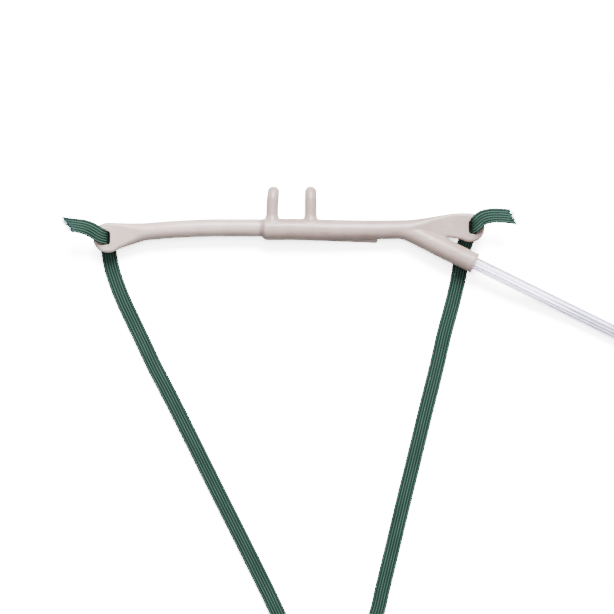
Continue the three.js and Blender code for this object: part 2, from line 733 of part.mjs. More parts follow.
// Through the right eyelet, measured from the eyelet's centre:
const RIGHT_THREAD = [
  [-5.0, -12.4, -5.18, -1, 0, 0],
  [-4.3, -9.2, -5.02, -1, 0, -0.04],
  [-3.2, -6.0, -4.7, -1, 0.05, -0.12],
  [-1.9, -3.1, -3.9, -1, 0.22, -0.3],
  [-0.95, -0.95, -2.7, -0.8, 0.9, -0.4],
  [-0.75, -0.2, -1.4, -0.25, 1, 0],
  [-0.7, 0, 0, -0.12, 1, 0],
  [-0.35, 0.05, 1.6, -0.15, 1, 0],
  [0.7, 1.2, 2.8, -0.4, 0.9, 0],
  [2.2, 2.7, 3.1, -0.45, 0.88, 0],
  [4.0, 3.6, 3.3, -0.35, 0.92, -0.15],
  [7.3, 4.1, 3.95, -0.1, 0.93, -0.35],
  [10.7, 4.0, 4.8, 0.05, 0.92, -0.4],
  [13.6, 3.7, 5.5, 0.1, 0.9, -0.42],
];

const STRAP_STEPS_PER_ROW = 2;

// A strap's middle line with the way its width points carried along it.
class StrapCurve extends THREE.CatmullRomCurve3 {
  constructor(rows) {
    super(rows.map(([x, y, z]) => new THREE.Vector3(x, y, z)), false, 'centripetal');
    this.widths = rows.map(([, , , x, y, z]) => new THREE.Vector3(x, y, z).normalize());
  }

  getSpacedPoints(steps) {
    return this.getPoints(steps);
  }

  computeFrenetFrames(steps) {
    const frames = { tangents: [], normals: [], binormals: [] };
    for (let i = 0; i <= steps; i++) {
      const place = i / steps * (this.widths.length - 1);
      const row = Math.min(Math.floor(place), this.widths.length - 2);
      const tangent = this.getTangent(i / steps);
      const normal = this.widths[row].clone().lerp(this.widths[row + 1], place - row);
      normal.addScaledVector(tangent, -normal.dot(tangent)).normalize();
      frames.tangents.push(tangent);
      frames.normals.push(normal);
      frames.binormals.push(new THREE.Vector3().crossVectors(tangent, normal));
    }
    return frames;
  }
}

function strapSection() {
  const x = STRAP_WIDTH / 2;
  const y = STRAP_THICKNESS / 2;
  const e = STRAP_EDGE;
  return new THREE.Shape([
    new THREE.Vector2(x, -y + e),
    new THREE.Vector2(x, y - e),
    new THREE.Vector2(x - e, y),
    new THREE.Vector2(-x + e, y),
    new THREE.Vector2(-x, y - e),
    new THREE.Vector2(-x, -y + e),
    new THREE.Vector2(-x + e, -y),
    new THREE.Vector2(x - e, -y),
  ]);
}

function headStrap() {
  const from = (centre) => ([x, y, z, ...width]) => [x + centre.x, y + centre.y, z + centre.z, ...width];
  const rows = [
    ...LEFT_THREAD.map(from(LEFT_EYELET)),
    ...STRAP_LOOP,
    ...RIGHT_THREAD.map(from(RIGHT_EYELET)),
  ];
  const strap = sweep(strapSection(), new StrapCurve(rows), (rows.length - 1) * STRAP_STEPS_PER_ROW);
  return namedMesh('head_strap', toGeometry(toSolid(strap)), elastic);
}

const cannula = new THREE.Group();
cannula.add(
  facepiece(),
  headStrap(),
  supplyTubing(),
  tubingCoil(),
  tubingTail(),
  tubingConnector(),
  coilTie('coil_tie_back', 1),
  coilTie('coil_tie_front', -1),
);

export default cannula;
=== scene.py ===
from math import cos, pi, radians, sin

import bpy
import numpy as np
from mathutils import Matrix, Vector


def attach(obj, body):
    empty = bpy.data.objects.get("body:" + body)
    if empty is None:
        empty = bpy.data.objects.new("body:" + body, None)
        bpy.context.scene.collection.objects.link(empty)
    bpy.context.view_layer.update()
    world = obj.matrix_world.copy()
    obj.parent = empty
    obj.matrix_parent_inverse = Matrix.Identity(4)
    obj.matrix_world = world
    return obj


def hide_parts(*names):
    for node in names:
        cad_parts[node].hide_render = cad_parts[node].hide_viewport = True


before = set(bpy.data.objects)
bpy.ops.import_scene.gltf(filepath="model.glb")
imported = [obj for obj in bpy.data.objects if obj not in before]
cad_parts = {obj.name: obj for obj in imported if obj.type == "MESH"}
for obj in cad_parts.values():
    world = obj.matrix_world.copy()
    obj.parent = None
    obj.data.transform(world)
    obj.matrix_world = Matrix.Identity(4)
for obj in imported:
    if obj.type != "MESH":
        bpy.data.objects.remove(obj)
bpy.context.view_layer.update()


# Camera: looks straight down at the cannula, with the prongs towards the top of the picture.
# The supply tubing leaves the picture at its right-hand edge and the strap at its bottom edge.
VIEW_WIDTH = 0.2456
VIEW_CENTRE = (0.00628, -0.03108)
VIEW_HEIGHT = 1.0046
FILM_WIDTH = 36.0

camera_data = bpy.data.cameras.new("camera")
camera_data.sensor_width = FILM_WIDTH
camera_data.lens = FILM_WIDTH / VIEW_WIDTH
camera_data.clip_start = 0.01
camera = bpy.data.objects.new("camera", camera_data)
camera.location = (*VIEW_CENTRE, VIEW_HEIGHT)
bpy.context.scene.collection.objects.link(camera)
bpy.context.scene.camera = camera


# Supply tubing: clear vinyl tubing, extruded with fine lengthwise ridges and a lumen of six
# points that can't kink shut. One end is glued into the branch's socket, the rest is wound
# into a coil of four layers by three columns, and the other end is in the connector.
TUBING_OD = 0.0052
LUMEN_RADIUS = 0.00165
LUMEN_POINT = 0.00022
RIDGE_DEPTH = 0.00003
RIDGES = 18
TUBING_SIDES = 36
TUBING_STEP = 0.0042

AXIS_Z = 0.0046
BRANCH_ROOT = np.array([0.0453, 0.0, AXIS_Z])
BRANCH_ANGLE = radians(26)
BRANCH_LENGTH = 0.0313
BRANCH_RISE = 0.0014
SOCKET_DEPTH = 0.0105
CLEARANCE = 0.0003
SUPPLY_REACH = 0.0898
COIL_BOTTOM = 0.001
COIL_MIDDLE_TURN = 0.0273
COIL_LAYERS = 4
CONNECTOR_AXIS_Z = 0.0055
TAIL_REACH = 0.052

# [distance past the branch's mouth, height of the tubing's axis]
SUPPLY_ROUTE = np.array([
    [-0.005, 0.00578],
    [0.0, 0.006],
    [0.005, 0.00617],
    [0.010, 0.0062],
    [0.016, 0.00585],
    [0.023, 0.0051],
    [0.030, 0.0042],
    [0.037, 0.00345],
    [0.044, 0.00295],
    [0.051, 0.0027],
    [0.058, 0.00268],
    [0.065, 0.0028],
    [0.072, 0.00305],
    [0.079, 0.00335],
    [0.085, 0.00355],
])

# [distance past the coil, height of the tubing's axis above the coil's foot]
TAIL_ROUTE = np.array([
    [0.006, 0.01815],
    [0.012, 0.0175],
    [0.018, 0.016],
    [0.024, 0.0137],
    [0.030, 0.0109],
    [0.036, 0.0082],
    [0.042, 0.006],
    [0.047, 0.00475],
])

# Angle from which each turn starts to cross to its next place in the coil, how far each later
# crossing comes before the one under it, and the angle that a crossing takes.
FIRST_CROSSING = radians(216)
CROSSING_LEAD = radians(22)
CROSSING_SPAN = radians(56)
COIL_START = pi + (pi / 2 - BRANCH_ANGLE)
COIL_POINTS_PER_TURN = 60


def unit(vectors):
    """Each vector divided by its length."""
    return vectors / np.linalg.norm(vectors, axis=-1, keepdims=True)


def ease(share):
    """The cubic 3s^2 - 2s^3 of a share held between 0 and 1."""
    share = np.clip(share, 0, 1)
    return share * share * (3 - 2 * share)


def smooth_line(points, extra=None, per_span=8):
    """Centripetal Catmull-Rom line: between two points a cubic whose end slopes weigh the three
    nearest spans by the square roots of their lengths. Extra columns follow by the same shares."""
    points = np.asarray(points, float)
    ends = np.vstack([2 * points[0] - points[1], points, 2 * points[-1] - points[-2]])
    span = np.linalg.norm(np.diff(ends, axis=0), axis=1) ** 0.5
    a, b, c, d = ends[:-3], ends[1:-2], ends[2:-1], ends[3:]
    t0, t1, t2 = (span[i:len(span) - 2 + i, None] for i in range(3))
    slope_b = ((b - a) / t0 - (c - a) / (t0 + t1) + (c - b) / t1) * t1
    slope_c = ((c - b) / t1 - (d - b) / (t1 + t2) + (d - c) / t2) * t1
    u = (np.arange(per_span) / per_span)[None, :, None]
    b, c, slope_b, slope_c = (v[:, None, :] for v in (b, c, slope_b, slope_c))
    cubic = b + slope_b * u
    cubic = cubic + (3 * (c - b) - 2 * slope_b - slope_c) * u ** 2
    cubic = cubic + (2 * (b - c) + slope_b + slope_c) * u ** 3
    line = np.vstack([cubic.reshape(-1, points.shape[1]), points[-1]])
    if extra is None:
        return line
    extra = np.asarray(extra, float)
    place = np.arange(len(line)) / per_span
    rows = np.arange(len(extra))
    followed = [np.interp(place, rows, column) for column in extra.T]
    return line, np.stack(followed, axis=1)


def along(line):
    """Distance of each point from the line's start."""
    return np.append(0, np.cumsum(np.linalg.norm(np.diff(line, axis=0), axis=1)))


def respace(line, places):
    """The points at the given distances along the line."""
    return np.stack([np.interp(places, along(line), column) for column in line.T], axis=1)


branch_heading = unit(np.array([
    cos(BRANCH_ANGLE) * BRANCH_LENGTH,
    -sin(BRANCH_ANGLE) * BRANCH_LENGTH,
    BRANCH_RISE,
]))
surface_heading = np.array([cos(BRANCH_ANGLE), -sin(BRANCH_ANGLE), 0.0])
mouth = BRANCH_ROOT + branch_heading * BRANCH_LENGTH
outer_turn = COIL_MIDDLE_TURN + TUBING_OD
first_turn = mouth + surface_heading * SUPPLY_REACH
coil_centre = first_turn + np.array([sin(BRANCH_ANGLE), cos(BRANCH_ANGLE), 0.0]) * outer_turn
last_turn = np.array([
    coil_centre[0] + outer_turn,
    coil_centre[1],
    COIL_BOTTOM + (COIL_LAYERS - 0.5) * TUBING_OD,
])
connector_start = last_turn[1] + TAIL_REACH


def supply_line():
    """From the seat in the socket along the straight line of the branch, at the listed heights."""
    seat = BRANCH_ROOT + branch_heading * (BRANCH_LENGTH - SOCKET_DEPTH + CLEARANCE)
    run = mouth + surface_heading * SUPPLY_ROUTE[:, :1]
    run[:, 2] = SUPPLY_ROUTE[:, 1]
    end = [first_turn[0], first_turn[1], COIL_BOTTOM + TUBING_OD / 2]
    return np.vstack([seat, run, end])


def coil_line():
    """Turns of a circle whose radius and height step from one place in the coil to the next:
    inwards in one layer, up, outwards in the next, each step an ease over the crossing's span."""
    inward = [outer_turn, COIL_MIDDLE_TURN, COIL_MIDDLE_TURN - TUBING_OD]
    radii = [r for layer in range(COIL_LAYERS) for r in (inward if layer % 2 == 0 else inward[::-1])]
    lead = np.array([0, 0, 1, 2, 2, 3, 4, 4, 5, 6, 6]) * CROSSING_LEAD
    middles = FIRST_CROSSING + 2 * pi * np.arange(1, len(radii)) - lead
    turns = 2 * pi * len(radii) - COIL_START
    angle = COIL_START + np.linspace(0, turns, int(COIL_POINTS_PER_TURN * turns / (2 * pi)))
    steps = ease((angle[:, None] - middles) / CROSSING_SPAN + 0.5)
    radius = radii[0] + steps @ np.diff(radii)
    rises = (np.arange(1, len(radii)) % 3 == 0) * TUBING_OD
    height = COIL_BOTTOM + TUBING_OD / 2 + steps @ rises
    return np.stack([
        coil_centre[0] + radius * np.cos(angle),
        coil_centre[1] + radius * np.sin(angle),
        height,
    ], axis=1)


def tail_line():
    """From the last turn straight on, down beside the coil and level into the connector."""
    run = np.stack([
        np.full(len(TAIL_ROUTE), last_turn[0]),
        last_turn[1] + TAIL_ROUTE[:, 0],
        COIL_BOTTOM + TAIL_ROUTE[:, 1],
    ], axis=1)
    seat = connector_start + SOCKET_DEPTH - CLEARANCE
    level = np.linspace(connector_start, seat, 3)
    socket = np.stack([np.full(3, last_turn[0]), level, np.full(3, CONNECTOR_AXIS_Z)], axis=1)
    return np.vstack([last_turn, run, socket])


def carried_frames(line, up=(0, 0, 1)):
    """Unit tangent, side and normal along a line: the side is level, the normal is as near to
    up as it can be."""
    tangent = unit(np.gradient(line, axis=0))
    side = unit(np.cross(np.asarray(up, float), tangent))
    return tangent, side, np.cross(tangent, side)


def grid_faces(rows, columns, offset=0, flip=False):
    """Quads between the rows of a grid whose columns close on themselves."""
    i, j = np.meshgrid(np.arange(rows - 1), np.arange(columns), indexing="ij")
    k = (j + 1) % columns
    quads = np.stack([i * columns + j, i * columns + k, (i + 1) * columns + k, (i + 1) * columns + j])
    quads = quads.reshape(4, -1).T + offset
    return quads[:, ::-1] if flip else quads


def new_piece(name, points, faces, uv=None):
    """A mesh object at the origin from points and quads; uv gives each point's two coordinates,
    of which the first runs once round a closed section and so is mended at its seam."""
    mesh = bpy.data.meshes.new(name)
    mesh.from_pydata(np.asarray(points).reshape(-1, 3).tolist(), [], [list(map(int, f)) for f in faces])
    mesh.polygons.foreach_set("use_smooth", np.ones(len(mesh.polygons), bool))
    if uv is not None:
        corners = np.zeros(len(mesh.loops), np.int32)
        mesh.loops.foreach_get("vertex_index", corners)
        values = np.asarray(uv, float).reshape(-1, 2)[corners]
        quads = values[:len(values) // 4 * 4].reshape(-1, 4, 2)
        high = quads[:, :, 0].max(axis=1, keepdims=True)
        quads[:, :, 0] += (high - quads[:, :, 0] > 0.5) * 1.0
        layer = mesh.uv_layers.new(name="surface")
        layer.data.foreach_set("uv", quads.reshape(-1))
    mesh.update()
    piece = bpy.data.objects.new(name, mesh)
    bpy.context.scene.collection.objects.link(piece)
    return piece


def tube_surface(line, radii):
    """Points of a tube: at each place on the line a ring whose radius is given at each angle."""
    tangent, side, normal = carried_frames(line)
    turn = np.arange(radii.shape[1]) / radii.shape[1] * 2 * pi
    ring = side[:, None] * np.cos(turn)[:, None] + normal[:, None] * np.sin(turn)[:, None]
    return line[:, None] + ring * radii[:, :, None]


tubing_line = np.vstack([
    smooth_line(supply_line())[:-1],
    coil_line()[:-1],
    smooth_line(tail_line()),
])
tubing_length = along(tubing_line)[-1]
tubing_places = np.linspace(0, tubing_length, int(tubing_length / TUBING_STEP))
tubing_line = respace(tubing_line, tubing_places)


def tubing_mesh():
    """Outer wall and star-shaped lumen as two tubes on one line, joined by flat ring ends. The
    outer radius has a cosine ridge RIDGES times round, the lumen's one six times round."""
    turn = np.arange(TUBING_SIDES) / TUBING_SIDES * 2 * pi
    outer = TUBING_OD / 2 - RIDGE_DEPTH * (0.5 + 0.5 * np.cos(RIDGES * turn))
    lumen = LUMEN_RADIUS + LUMEN_POINT * np.cos(6 * turn)
    rows = len(tubing_line)
    outside = tube_surface(tubing_line, np.tile(outer, (rows, 1)))
    inside = tube_surface(tubing_line, np.tile(lumen, (rows, 1)))
    count = rows * TUBING_SIDES
    j = np.arange(TUBING_SIDES)
    k = (j + 1) % TUBING_SIDES
    start = np.stack([j, j + count, k + count, k], axis=1)
    end = np.stack([j, k, k + count, j + count], axis=1) + (rows - 1) * TUBING_SIDES
    faces = np.vstack([
        grid_faces(rows, TUBING_SIDES, 0),
        grid_faces(rows, TUBING_SIDES, count, flip=True),
        start,
        end,
    ])
    around = np.tile(turn / (2 * pi), (rows, 1))
    distance = np.tile(tubing_places[:, None], (1, TUBING_SIDES))
    uv = np.stack([around, distance], axis=2)
    return new_piece("clear_tubing", np.vstack([outside.reshape(-1, 3), inside.reshape(-1, 3)]), faces,
                     np.vstack([uv.reshape(-1, 2), uv.reshape(-1, 2)]))


def node(tree, kind, inputs=None, **settings):
    """A shader node with its settings and plain input values; a tuple (node, output) is linked."""
    made = tree.nodes.new(kind)
    for name, value in settings.items():
        setattr(made, name, value)
    for name, value in (inputs or {}).items():
        if isinstance(value, tuple) and isinstance(value[0], bpy.types.Node):
            tree.links.new(value[0].outputs[value[1]], made.inputs[name])
        else:
            made.inputs[name].default_value = value
    return made


def new_material(name):
    """An empty material with its Principled shader joined to the output."""
    material = bpy.data.materials.new(name)
    material.use_nodes = True
    tree = material.node_tree
    tree.nodes.clear()
    shader = tree.nodes.new("ShaderNodeBsdfPrincipled")
    output = tree.nodes.new("ShaderNodeOutputMaterial")
    tree.links.new(shader.outputs["BSDF"], output.inputs["Surface"])
    return material, tree, shader


def new_group(name, inputs, outputs):
    """An empty node group with the named sockets, and the node that gives its inputs."""
    group = bpy.data.node_groups.new(name, "ShaderNodeTree")
    for socket, kind in inputs:
        group.interface.new_socket(socket, in_out="INPUT", socket_type="NodeSocket" + kind)
    for socket, kind in outputs:
        group.interface.new_socket(socket, in_out="OUTPUT", socket_type="NodeSocket" + kind)
    return group, group.nodes.new("NodeGroupInput")


def drawn_streaks():
    """Noise drawn out into streaks, which run along the axis whose stretch value is the smallest."""
    group, given = new_group(
        "drawn_streaks",
        [("Vector", "Vector"), ("Stretch", "Vector"), ("Detail", "Float")],
        [("Streaks", "Float")],
    )
    drawn = node(group, "ShaderNodeMapping", {"Vector": (given, "Vector"), "Scale": (given, "Stretch")})
    noise = node(group, "ShaderNodeTexNoise",
                 {"Vector": (drawn, "Vector"), "Scale": 1.0, "Detail": (given, "Detail")})
    node(group, "NodeGroupOutput", {"Streaks": (noise, "Fac")})
    return group


streak_group = drawn_streaks()


def streaks_in(tree, place, stretch, detail):
    """The streaks group placed in a material, on the given coordinates."""
    return node(tree, "ShaderNodeGroup", {"Vector": place, "Stretch": stretch, "Detail": detail},
                node_tree=streak_group)


def clear_vinyl():
    """Clear vinyl: a see-through body whose lengthwise streaks come from noise drawn out along
    the tubing, in the piece's own UV. The dark lavender streaks in its colour are painted shade,
    standing in for the dark lines that the ridges and the lumen refract."""
    material, tree, shader = new_material("clear_vinyl")
    surface = node(tree, "ShaderNodeUVMap", uv_map="surface")
    streaks = streaks_in(tree, (surface, "UV"), (7, 0.8, 1), 2)
    # Painted shade: the ramp's dark lavender end gives the dark refracted lines of the clear tubing.
    tint = node(tree, "ShaderNodeValToRGB", {"Fac": (streaks, "Streaks")})
    tint.color_ramp.elements[0].position = 0.46
    tint.color_ramp.elements[0].color = (0.26, 0.25, 0.32, 1)
    tint.color_ramp.elements[1].position = 0.52
    tint.color_ramp.elements[1].color = (0.94, 0.94, 0.97, 1)
    rough = node(tree, "ShaderNodeMapRange", {"Value": (streaks, "Streaks"), "To Min": 0.06, "To Max": 0.2})
    bump = node(tree, "ShaderNodeBump", {"Height": (streaks, "Streaks"), "Strength": 0.3, "Distance": 0.0002})
    tree.links.new(tint.outputs["Color"], shader.inputs["Base Color"])
    tree.links.new(rough.outputs["Result"], shader.inputs["Roughness"])
    tree.links.new(bump.outputs["Normal"], shader.inputs["Normal"])
    shader.inputs["Transmission Weight"].default_value = 1.0
    shader.inputs["IOR"].default_value = 1.45
    return material


tubing = tubing_mesh()
tubing.data.materials.append(clear_vinyl())
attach(tubing, "root")
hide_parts("supply_tubing", "tubing_coil", "tubing_tail")


# Head strap: flat elastic, woven with six rubber-cored ribs along it, green on the ribs and
# near black in the grooves, which is partly painted shade. It comes up through both eyelets
# and ends in short cut tails.
STRAP_WIDTH = 0.0062
STRAP_THICKNESS = 0.0011
STRAP_RIBS = 6
RIB_DEPTH = 0.00022
POINTS_PER_RIB = 8
GATHER = 0.04
GATHER_LENGTH = 0.006
LEFT_CUT = 0.0023
RIGHT_CUT = -0.0023
CUT_JAG = 0.0004
CUT_REACH = 0.0004
STRAP_STEP = 0.00055

LEFT_EYELET = np.array([-0.0747, -0.0031, 0.0058])
RIGHT_EYELET = np.array([0.0732, 0.0012, 0.0058])

# Each row is a place on the strap's middle line and the way that its width points there, in
# millimetres: through the left eyelet, from its centre,
LEFT_THREAD = np.array([
    [-13.3, 4.7, 5.5, 0.2, 0.85, -0.5],
    [-10.3, 4.3, 4.9, 0.2, 0.87, -0.45],
    [-7.2, 3.7, 4.1, 0.26, 0.9, -0.3],
    [-4.6, 2.6, 3.15, 0.34, 0.93, -0.1],
    [-2.8, 1.5, 2.6, 0.36, 0.93, 0],
    [-1.3, 0.6, 2.3, 0.25, 1, 0],
    [0, 0.1, 1.5, 0.1, 1, 0],
    [0.7, 0, 0, 0, 1, 0],
    [0.75, -0.15, -1.4, 0.2, 1, 0],
    [0.85, -0.75, -2.7, 0.8, 0.9, -0.4],
    [0.95, -2.3, -3.8, 1, 0.22, -0.3],
    [1.35, -4.8, -4.5, 1, 0.05, -0.12],
    [1.75, -7.8, -5.0, 1, 0, -0.04],
])

# down to the loop and back up,
STRAP_LOOP = np.array([
    [-72.3, -14.6, 0.62, 1, 0, 0],
    [-71.35, -18.0, 0.62, 1, 0, 0],
    [-67.95, -27.2, 0.62, 1, 0, 0],
    [-63.7, -36.4, 0.62, 1, 0, 0],
    [-59.3, -45.6, 0.62, 1, 0, 0],
    [-55.0, -54.8, 0.62, 1, 0, 0],
    [-50.2, -64.0, 0.62, 1, 0, 0],
    [-45.5, -73.2, 0.62, 1, 0, 0],
    [-36.6, -91.1, 0.62, 1, 0, 0],
    [-27.7, -109.0, 0.62, 1, 0, 0],
    [-18.7, -126.9, 0.62, 1, 0, 0],
    [-9.8, -144.8, 0.74, 1, 0.5, -0.04],
    [-3.1, -158.3, 1.0, 0.87, 0.49, -0.12],
    [1.9, -164.7, 1.85, 0.62, 0.68, -0.4],
    [9.0, -168.5, 2.7, 0.25, 0.68, -0.72],
    [17.1, -169.3, 2.9, -0.07, 0.57, -0.82],
    [24.8, -166.7, 2.7, -0.38, 0.62, -0.72],
    [30.8, -161.4, 1.85, -0.7, 0.6, -0.4],
    [34.2, -154.1, 1.0, -0.95, 0.3, -0.12],
    [36.6, -144.2, 0.76, -1, 0.24, -0.04],
    [41.0, -126.0, 0.62, -1, 0, 0],
    [45.2, -108.5, 0.62, -1, 0, 0],
    [49.5, -91.0, 0.62, -1, 0, 0],
    [53.8, -73.3, 0.62, -1, 0, 0],
    [58.5, -54.4, 0.62, -1, 0, 0],
    [61.4, -41.8, 0.62, -1, 0, 0],
    [64.8, -29.1, 0.62, -1, 0, 0],
    [67.2, -18.6, 0.62, -1, 0, 0],
    [67.8, -14.6, 0.62, -1, 0, 0],
])

# and through the right eyelet, from its centre.
RIGHT_THREAD = np.array([
    [-5.0, -12.4, -5.18, -1, 0, 0],
    [-4.3, -9.2, -5.02, -1, 0, -0.04],
    [-3.2, -6.0, -4.7, -1, 0.05, -0.12],
    [-1.9, -3.1, -3.9, -1, 0.22, -0.3],
    [-0.95, -0.95, -2.7, -0.8, 0.9, -0.4],
    [-0.75, -0.2, -1.4, -0.25, 1, 0],
    [-0.7, 0, 0, -0.12, 1, 0],
    [-0.35, 0.05, 1.6, -0.15, 1, 0],
    [0.7, 1.2, 2.8, -0.4, 0.9, 0],
    [2.2, 2.7, 3.1, -0.45, 0.88, 0],
    [4.0, 3.6, 3.3, -0.35, 0.92, -0.15],
    [7.3, 4.1, 3.95, -0.1, 0.93, -0.35],
    [10.7, 4.0, 4.8, 0.05, 0.92, -0.4],
    [13.6, 3.7, 5.5, 0.1, 0.9, -0.42],
])
MILLIMETRE = 0.001

strap_points = np.vstack([
    LEFT_THREAD[:, :3] * MILLIMETRE + LEFT_EYELET,
    STRAP_LOOP[:, :3] * MILLIMETRE,
    RIGHT_THREAD[:, :3] * MILLIMETRE + RIGHT_EYELET,
])
strap_widths = unit(np.vstack([LEFT_THREAD[:, 3:], STRAP_LOOP[:, 3:], RIGHT_THREAD[:, 3:]]))
strap_line, strap_across = smooth_line(strap_points, strap_widths, 24)
strap_full = np.hstack([strap_line, strap_across])
strap_end = along(strap_line)[-1]
strap_places = np.linspace(0, strap_end, int(strap_end / STRAP_STEP))
strap_full = np.stack([
    np.interp(strap_places, along(strap_line), column) for column in strap_full.T
], axis=1)
strap_line = strap_full[:, :3]
strap_tangent = unit(np.gradient(strap_line, axis=0))
strap_across = strap_full[:, 3:]
strap_across = unit(strap_across - (strap_across * strap_tangent).sum(axis=1, keepdims=True) * strap_tangent)
strap_normal = np.cross(strap_tangent, strap_across)


def strap_section():
    """Half thickness across the strap, from edge to edge: the plain thickness less a groove of
    one minus |sine| between ribs, rounded down at the two edges."""
    across = np.linspace(-1, 1, STRAP_RIBS * POINTS_PER_RIB + 1)
    rib = np.abs(np.sin((across + 1) / 2 * STRAP_RIBS * pi))
    edge = np.clip((1 - np.abs(across)) / 0.08, 0, 1) ** 0.5
    half = (STRAP_THICKNESS / 2 - RIB_DEPTH * (1 - rib ** 0.7)) * (0.35 + 0.65 * edge)
    return across, half


def strap_mesh():
    """The section carried along the route: its upper side from edge to edge and its lower side
    back again, closed by a face at each end. The ends slant, and are jagged by two waves' product."""
    across, half = strap_section()
    round_across = np.concatenate([across, across[::-1]])
    round_height = np.concatenate([half, -half[::-1]])
    rows = len(strap_line)
    gathered = np.ones(rows)
    for eyelet in (LEFT_EYELET, RIGHT_EYELET):
        away = np.linalg.norm(strap_line - eyelet, axis=1)
        gathered -= GATHER * np.exp(-(away / GATHER_LENGTH) ** 2)
    points = (
        strap_line[:, None]
        + (strap_across * gathered[:, None])[:, None] * (round_across * STRAP_WIDTH / 2)[:, None]
        + strap_normal[:, None] * round_height[:, None]
    )
    jag = CUT_JAG * np.sin(across * 17) * np.cos(across * 7 + 1)
    jag = np.concatenate([jag, jag[::-1]])
    ends = [(0, -1, LEFT_CUT), (-1, 1, RIGHT_CUT)]
    for row, way, cut in ends:
        points[row] += strap_tangent[row] * (way * (CUT_REACH + cut * round_across + jag))[:, None]
    columns = len(round_across)
    j = np.arange(len(across) - 1)
    cap = np.stack([j, j + 1, columns - 2 - j, columns - 1 - j], axis=1)
    faces = np.vstack([
        grid_faces(rows, columns, flip=True),
        cap,
        cap[:, ::-1] + (rows - 1) * columns,
    ])
    uv = np.stack([
        np.tile((round_across + 1) * STRAP_RIBS / 2, (rows, 1)),
        np.tile(strap_places[:, None], (1, columns)),
    ], axis=2)
    piece = new_piece("woven_strap", points, faces)
    corners = np.zeros(len(piece.data.loops), np.int32)
    piece.data.loops.foreach_get("vertex_index", corners)
    layer = piece.data.uv_layers.new(name="surface")
    layer.data.foreach_set("uv", uv.reshape(-1, 2)[corners].reshape(-1))
    return piece


def elastic():
    """Woven elastic: colour and height from the place across a rib, crossed by fine slanted
    stitches along the strap, with a little noise in both. The near-black colour in the grooves
    between ribs is partly painted shade."""
    material, tree, shader = new_material("woven_elastic")
    surface = node(tree, "ShaderNodeUVMap", uv_map="surface")
    parts = node(tree, "ShaderNodeSeparateXYZ", {"Vector": (surface, "UV")})
    turn = node(tree, "ShaderNodeMath", {0: (parts, "X"), 1: pi}, operation="MULTIPLY")
    wave = node(tree, "ShaderNodeMath", {0: (turn, "Value")}, operation="SINE")
    rib = node(tree, "ShaderNodeMath", {0: (wave, "Value")}, operation="ABSOLUTE")
    along_stitches = node(tree, "ShaderNodeMath", {0: (parts, "Y"), 1: 2 * pi / 0.0011}, operation="MULTIPLY")
    lean = node(tree, "ShaderNodeMath", {0: (rib, "Value"), 1: 2.2}, operation="MULTIPLY")
    phase = node(tree, "ShaderNodeMath", {0: (along_stitches, "Value"), 1: (lean, "Value")}, operation="ADD")
    stitch_wave = node(tree, "ShaderNodeMath", {0: (phase, "Value")}, operation="SINE")
    stitch = node(tree, "ShaderNodeMapRange", {"Value": (stitch_wave, "Value"), "From Min": -1})
    fuzz = streaks_in(tree, (surface, "UV"), (6, 900, 1), 3)
    shade = node(tree, "ShaderNodeMath", {0: (stitch, "Result"), 1: 0.13, 2: (rib, "Value")},
                 operation="MULTIPLY_ADD")
    noisy = node(tree, "ShaderNodeMath", {0: (fuzz, "Streaks"), 1: 0.35, 2: (shade, "Value")},
                 operation="MULTIPLY_ADD")
    uneven = streaks_in(tree, (surface, "UV"), (1.1, 70, 1), 2)
    shaded = node(tree, "ShaderNodeMath", {0: (uneven, "Streaks"), 1: 0.5, 2: (noisy, "Value")},
                  operation="MULTIPLY_ADD")
    scaled = node(tree, "ShaderNodeMapRange",
                  {"Value": (shaded, "Value"), "From Min": 0.25, "From Max": 1.64})
    # The ramp's dark end falls in the grooves, so the near black there is partly painted shade.
    colour = node(tree, "ShaderNodeValToRGB", {"Fac": (scaled, "Result")})
    ramp = colour.color_ramp
    ramp.elements[0].position = 0.4
    ramp.elements[0].color = (0.004, 0.011, 0.008, 1)
    ramp.elements[1].position = 1.0
    ramp.elements[1].color = (0.039, 0.08, 0.063, 1)
    middle = ramp.elements.new(0.72)
    middle.color = (0.0105, 0.033, 0.024, 1)
    height = node(tree, "ShaderNodeMath", {0: (noisy, "Value"), 1: 0.5}, operation="MULTIPLY")
    bump = node(tree, "ShaderNodeBump", {"Height": (height, "Value"), "Strength": 0.7, "Distance": 0.00022})
    tree.links.new(colour.outputs["Color"], shader.inputs["Base Color"])
    tree.links.new(bump.outputs["Normal"], shader.inputs["Normal"])
    shader.inputs["Roughness"].default_value = 0.8
    shader.inputs["Specular IOR Level"].default_value = 0.12
    return material


def elastic_yarn():
    """Cut yarn: dark green with paler and bluish strands along the end."""
    material, tree, shader = new_material("elastic_yarn")
    place = node(tree, "ShaderNodeTexCoord")
    strands = node(tree, "ShaderNodeTexNoise", {"Vector": (place, "Object"), "Scale": 2200, "Detail": 1})
    colour = node(tree, "ShaderNodeValToRGB", {"Fac": (strands, "Fac")})
    colour.color_ramp.elements[0].position = 0.35
    colour.color_ramp.elements[0].color = (0.012, 0.02, 0.042, 1)
    colour.color_ramp.elements[1].position = 0.65
    colour.color_ramp.elements[1].color = (0.05, 0.14, 0.105, 1)
    tree.links.new(colour.outputs["Color"], shader.inputs["Base Color"])
    shader.inputs["Roughness"].default_value = 0.8
    shader.inputs["Specular IOR Level"].default_value = 0.12
    return material


strap = strap_mesh()
strap.data.materials.append(elastic())
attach(strap, "root")
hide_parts("head_strap")


# Frayed ends: loose yarns of the strap at its two slanting cuts, one of them much longer.
YARN_RADIUS = 0.0001
YARN_SIDES = 5
YARN_ROWS = 7
YARNS_PER_END = 240
YARN_SHORT = 0.0008
YARN_SPREAD = 0.0026
LOOSE_YARN = 0.0046
LOOSE_THICKNESS = 1.7


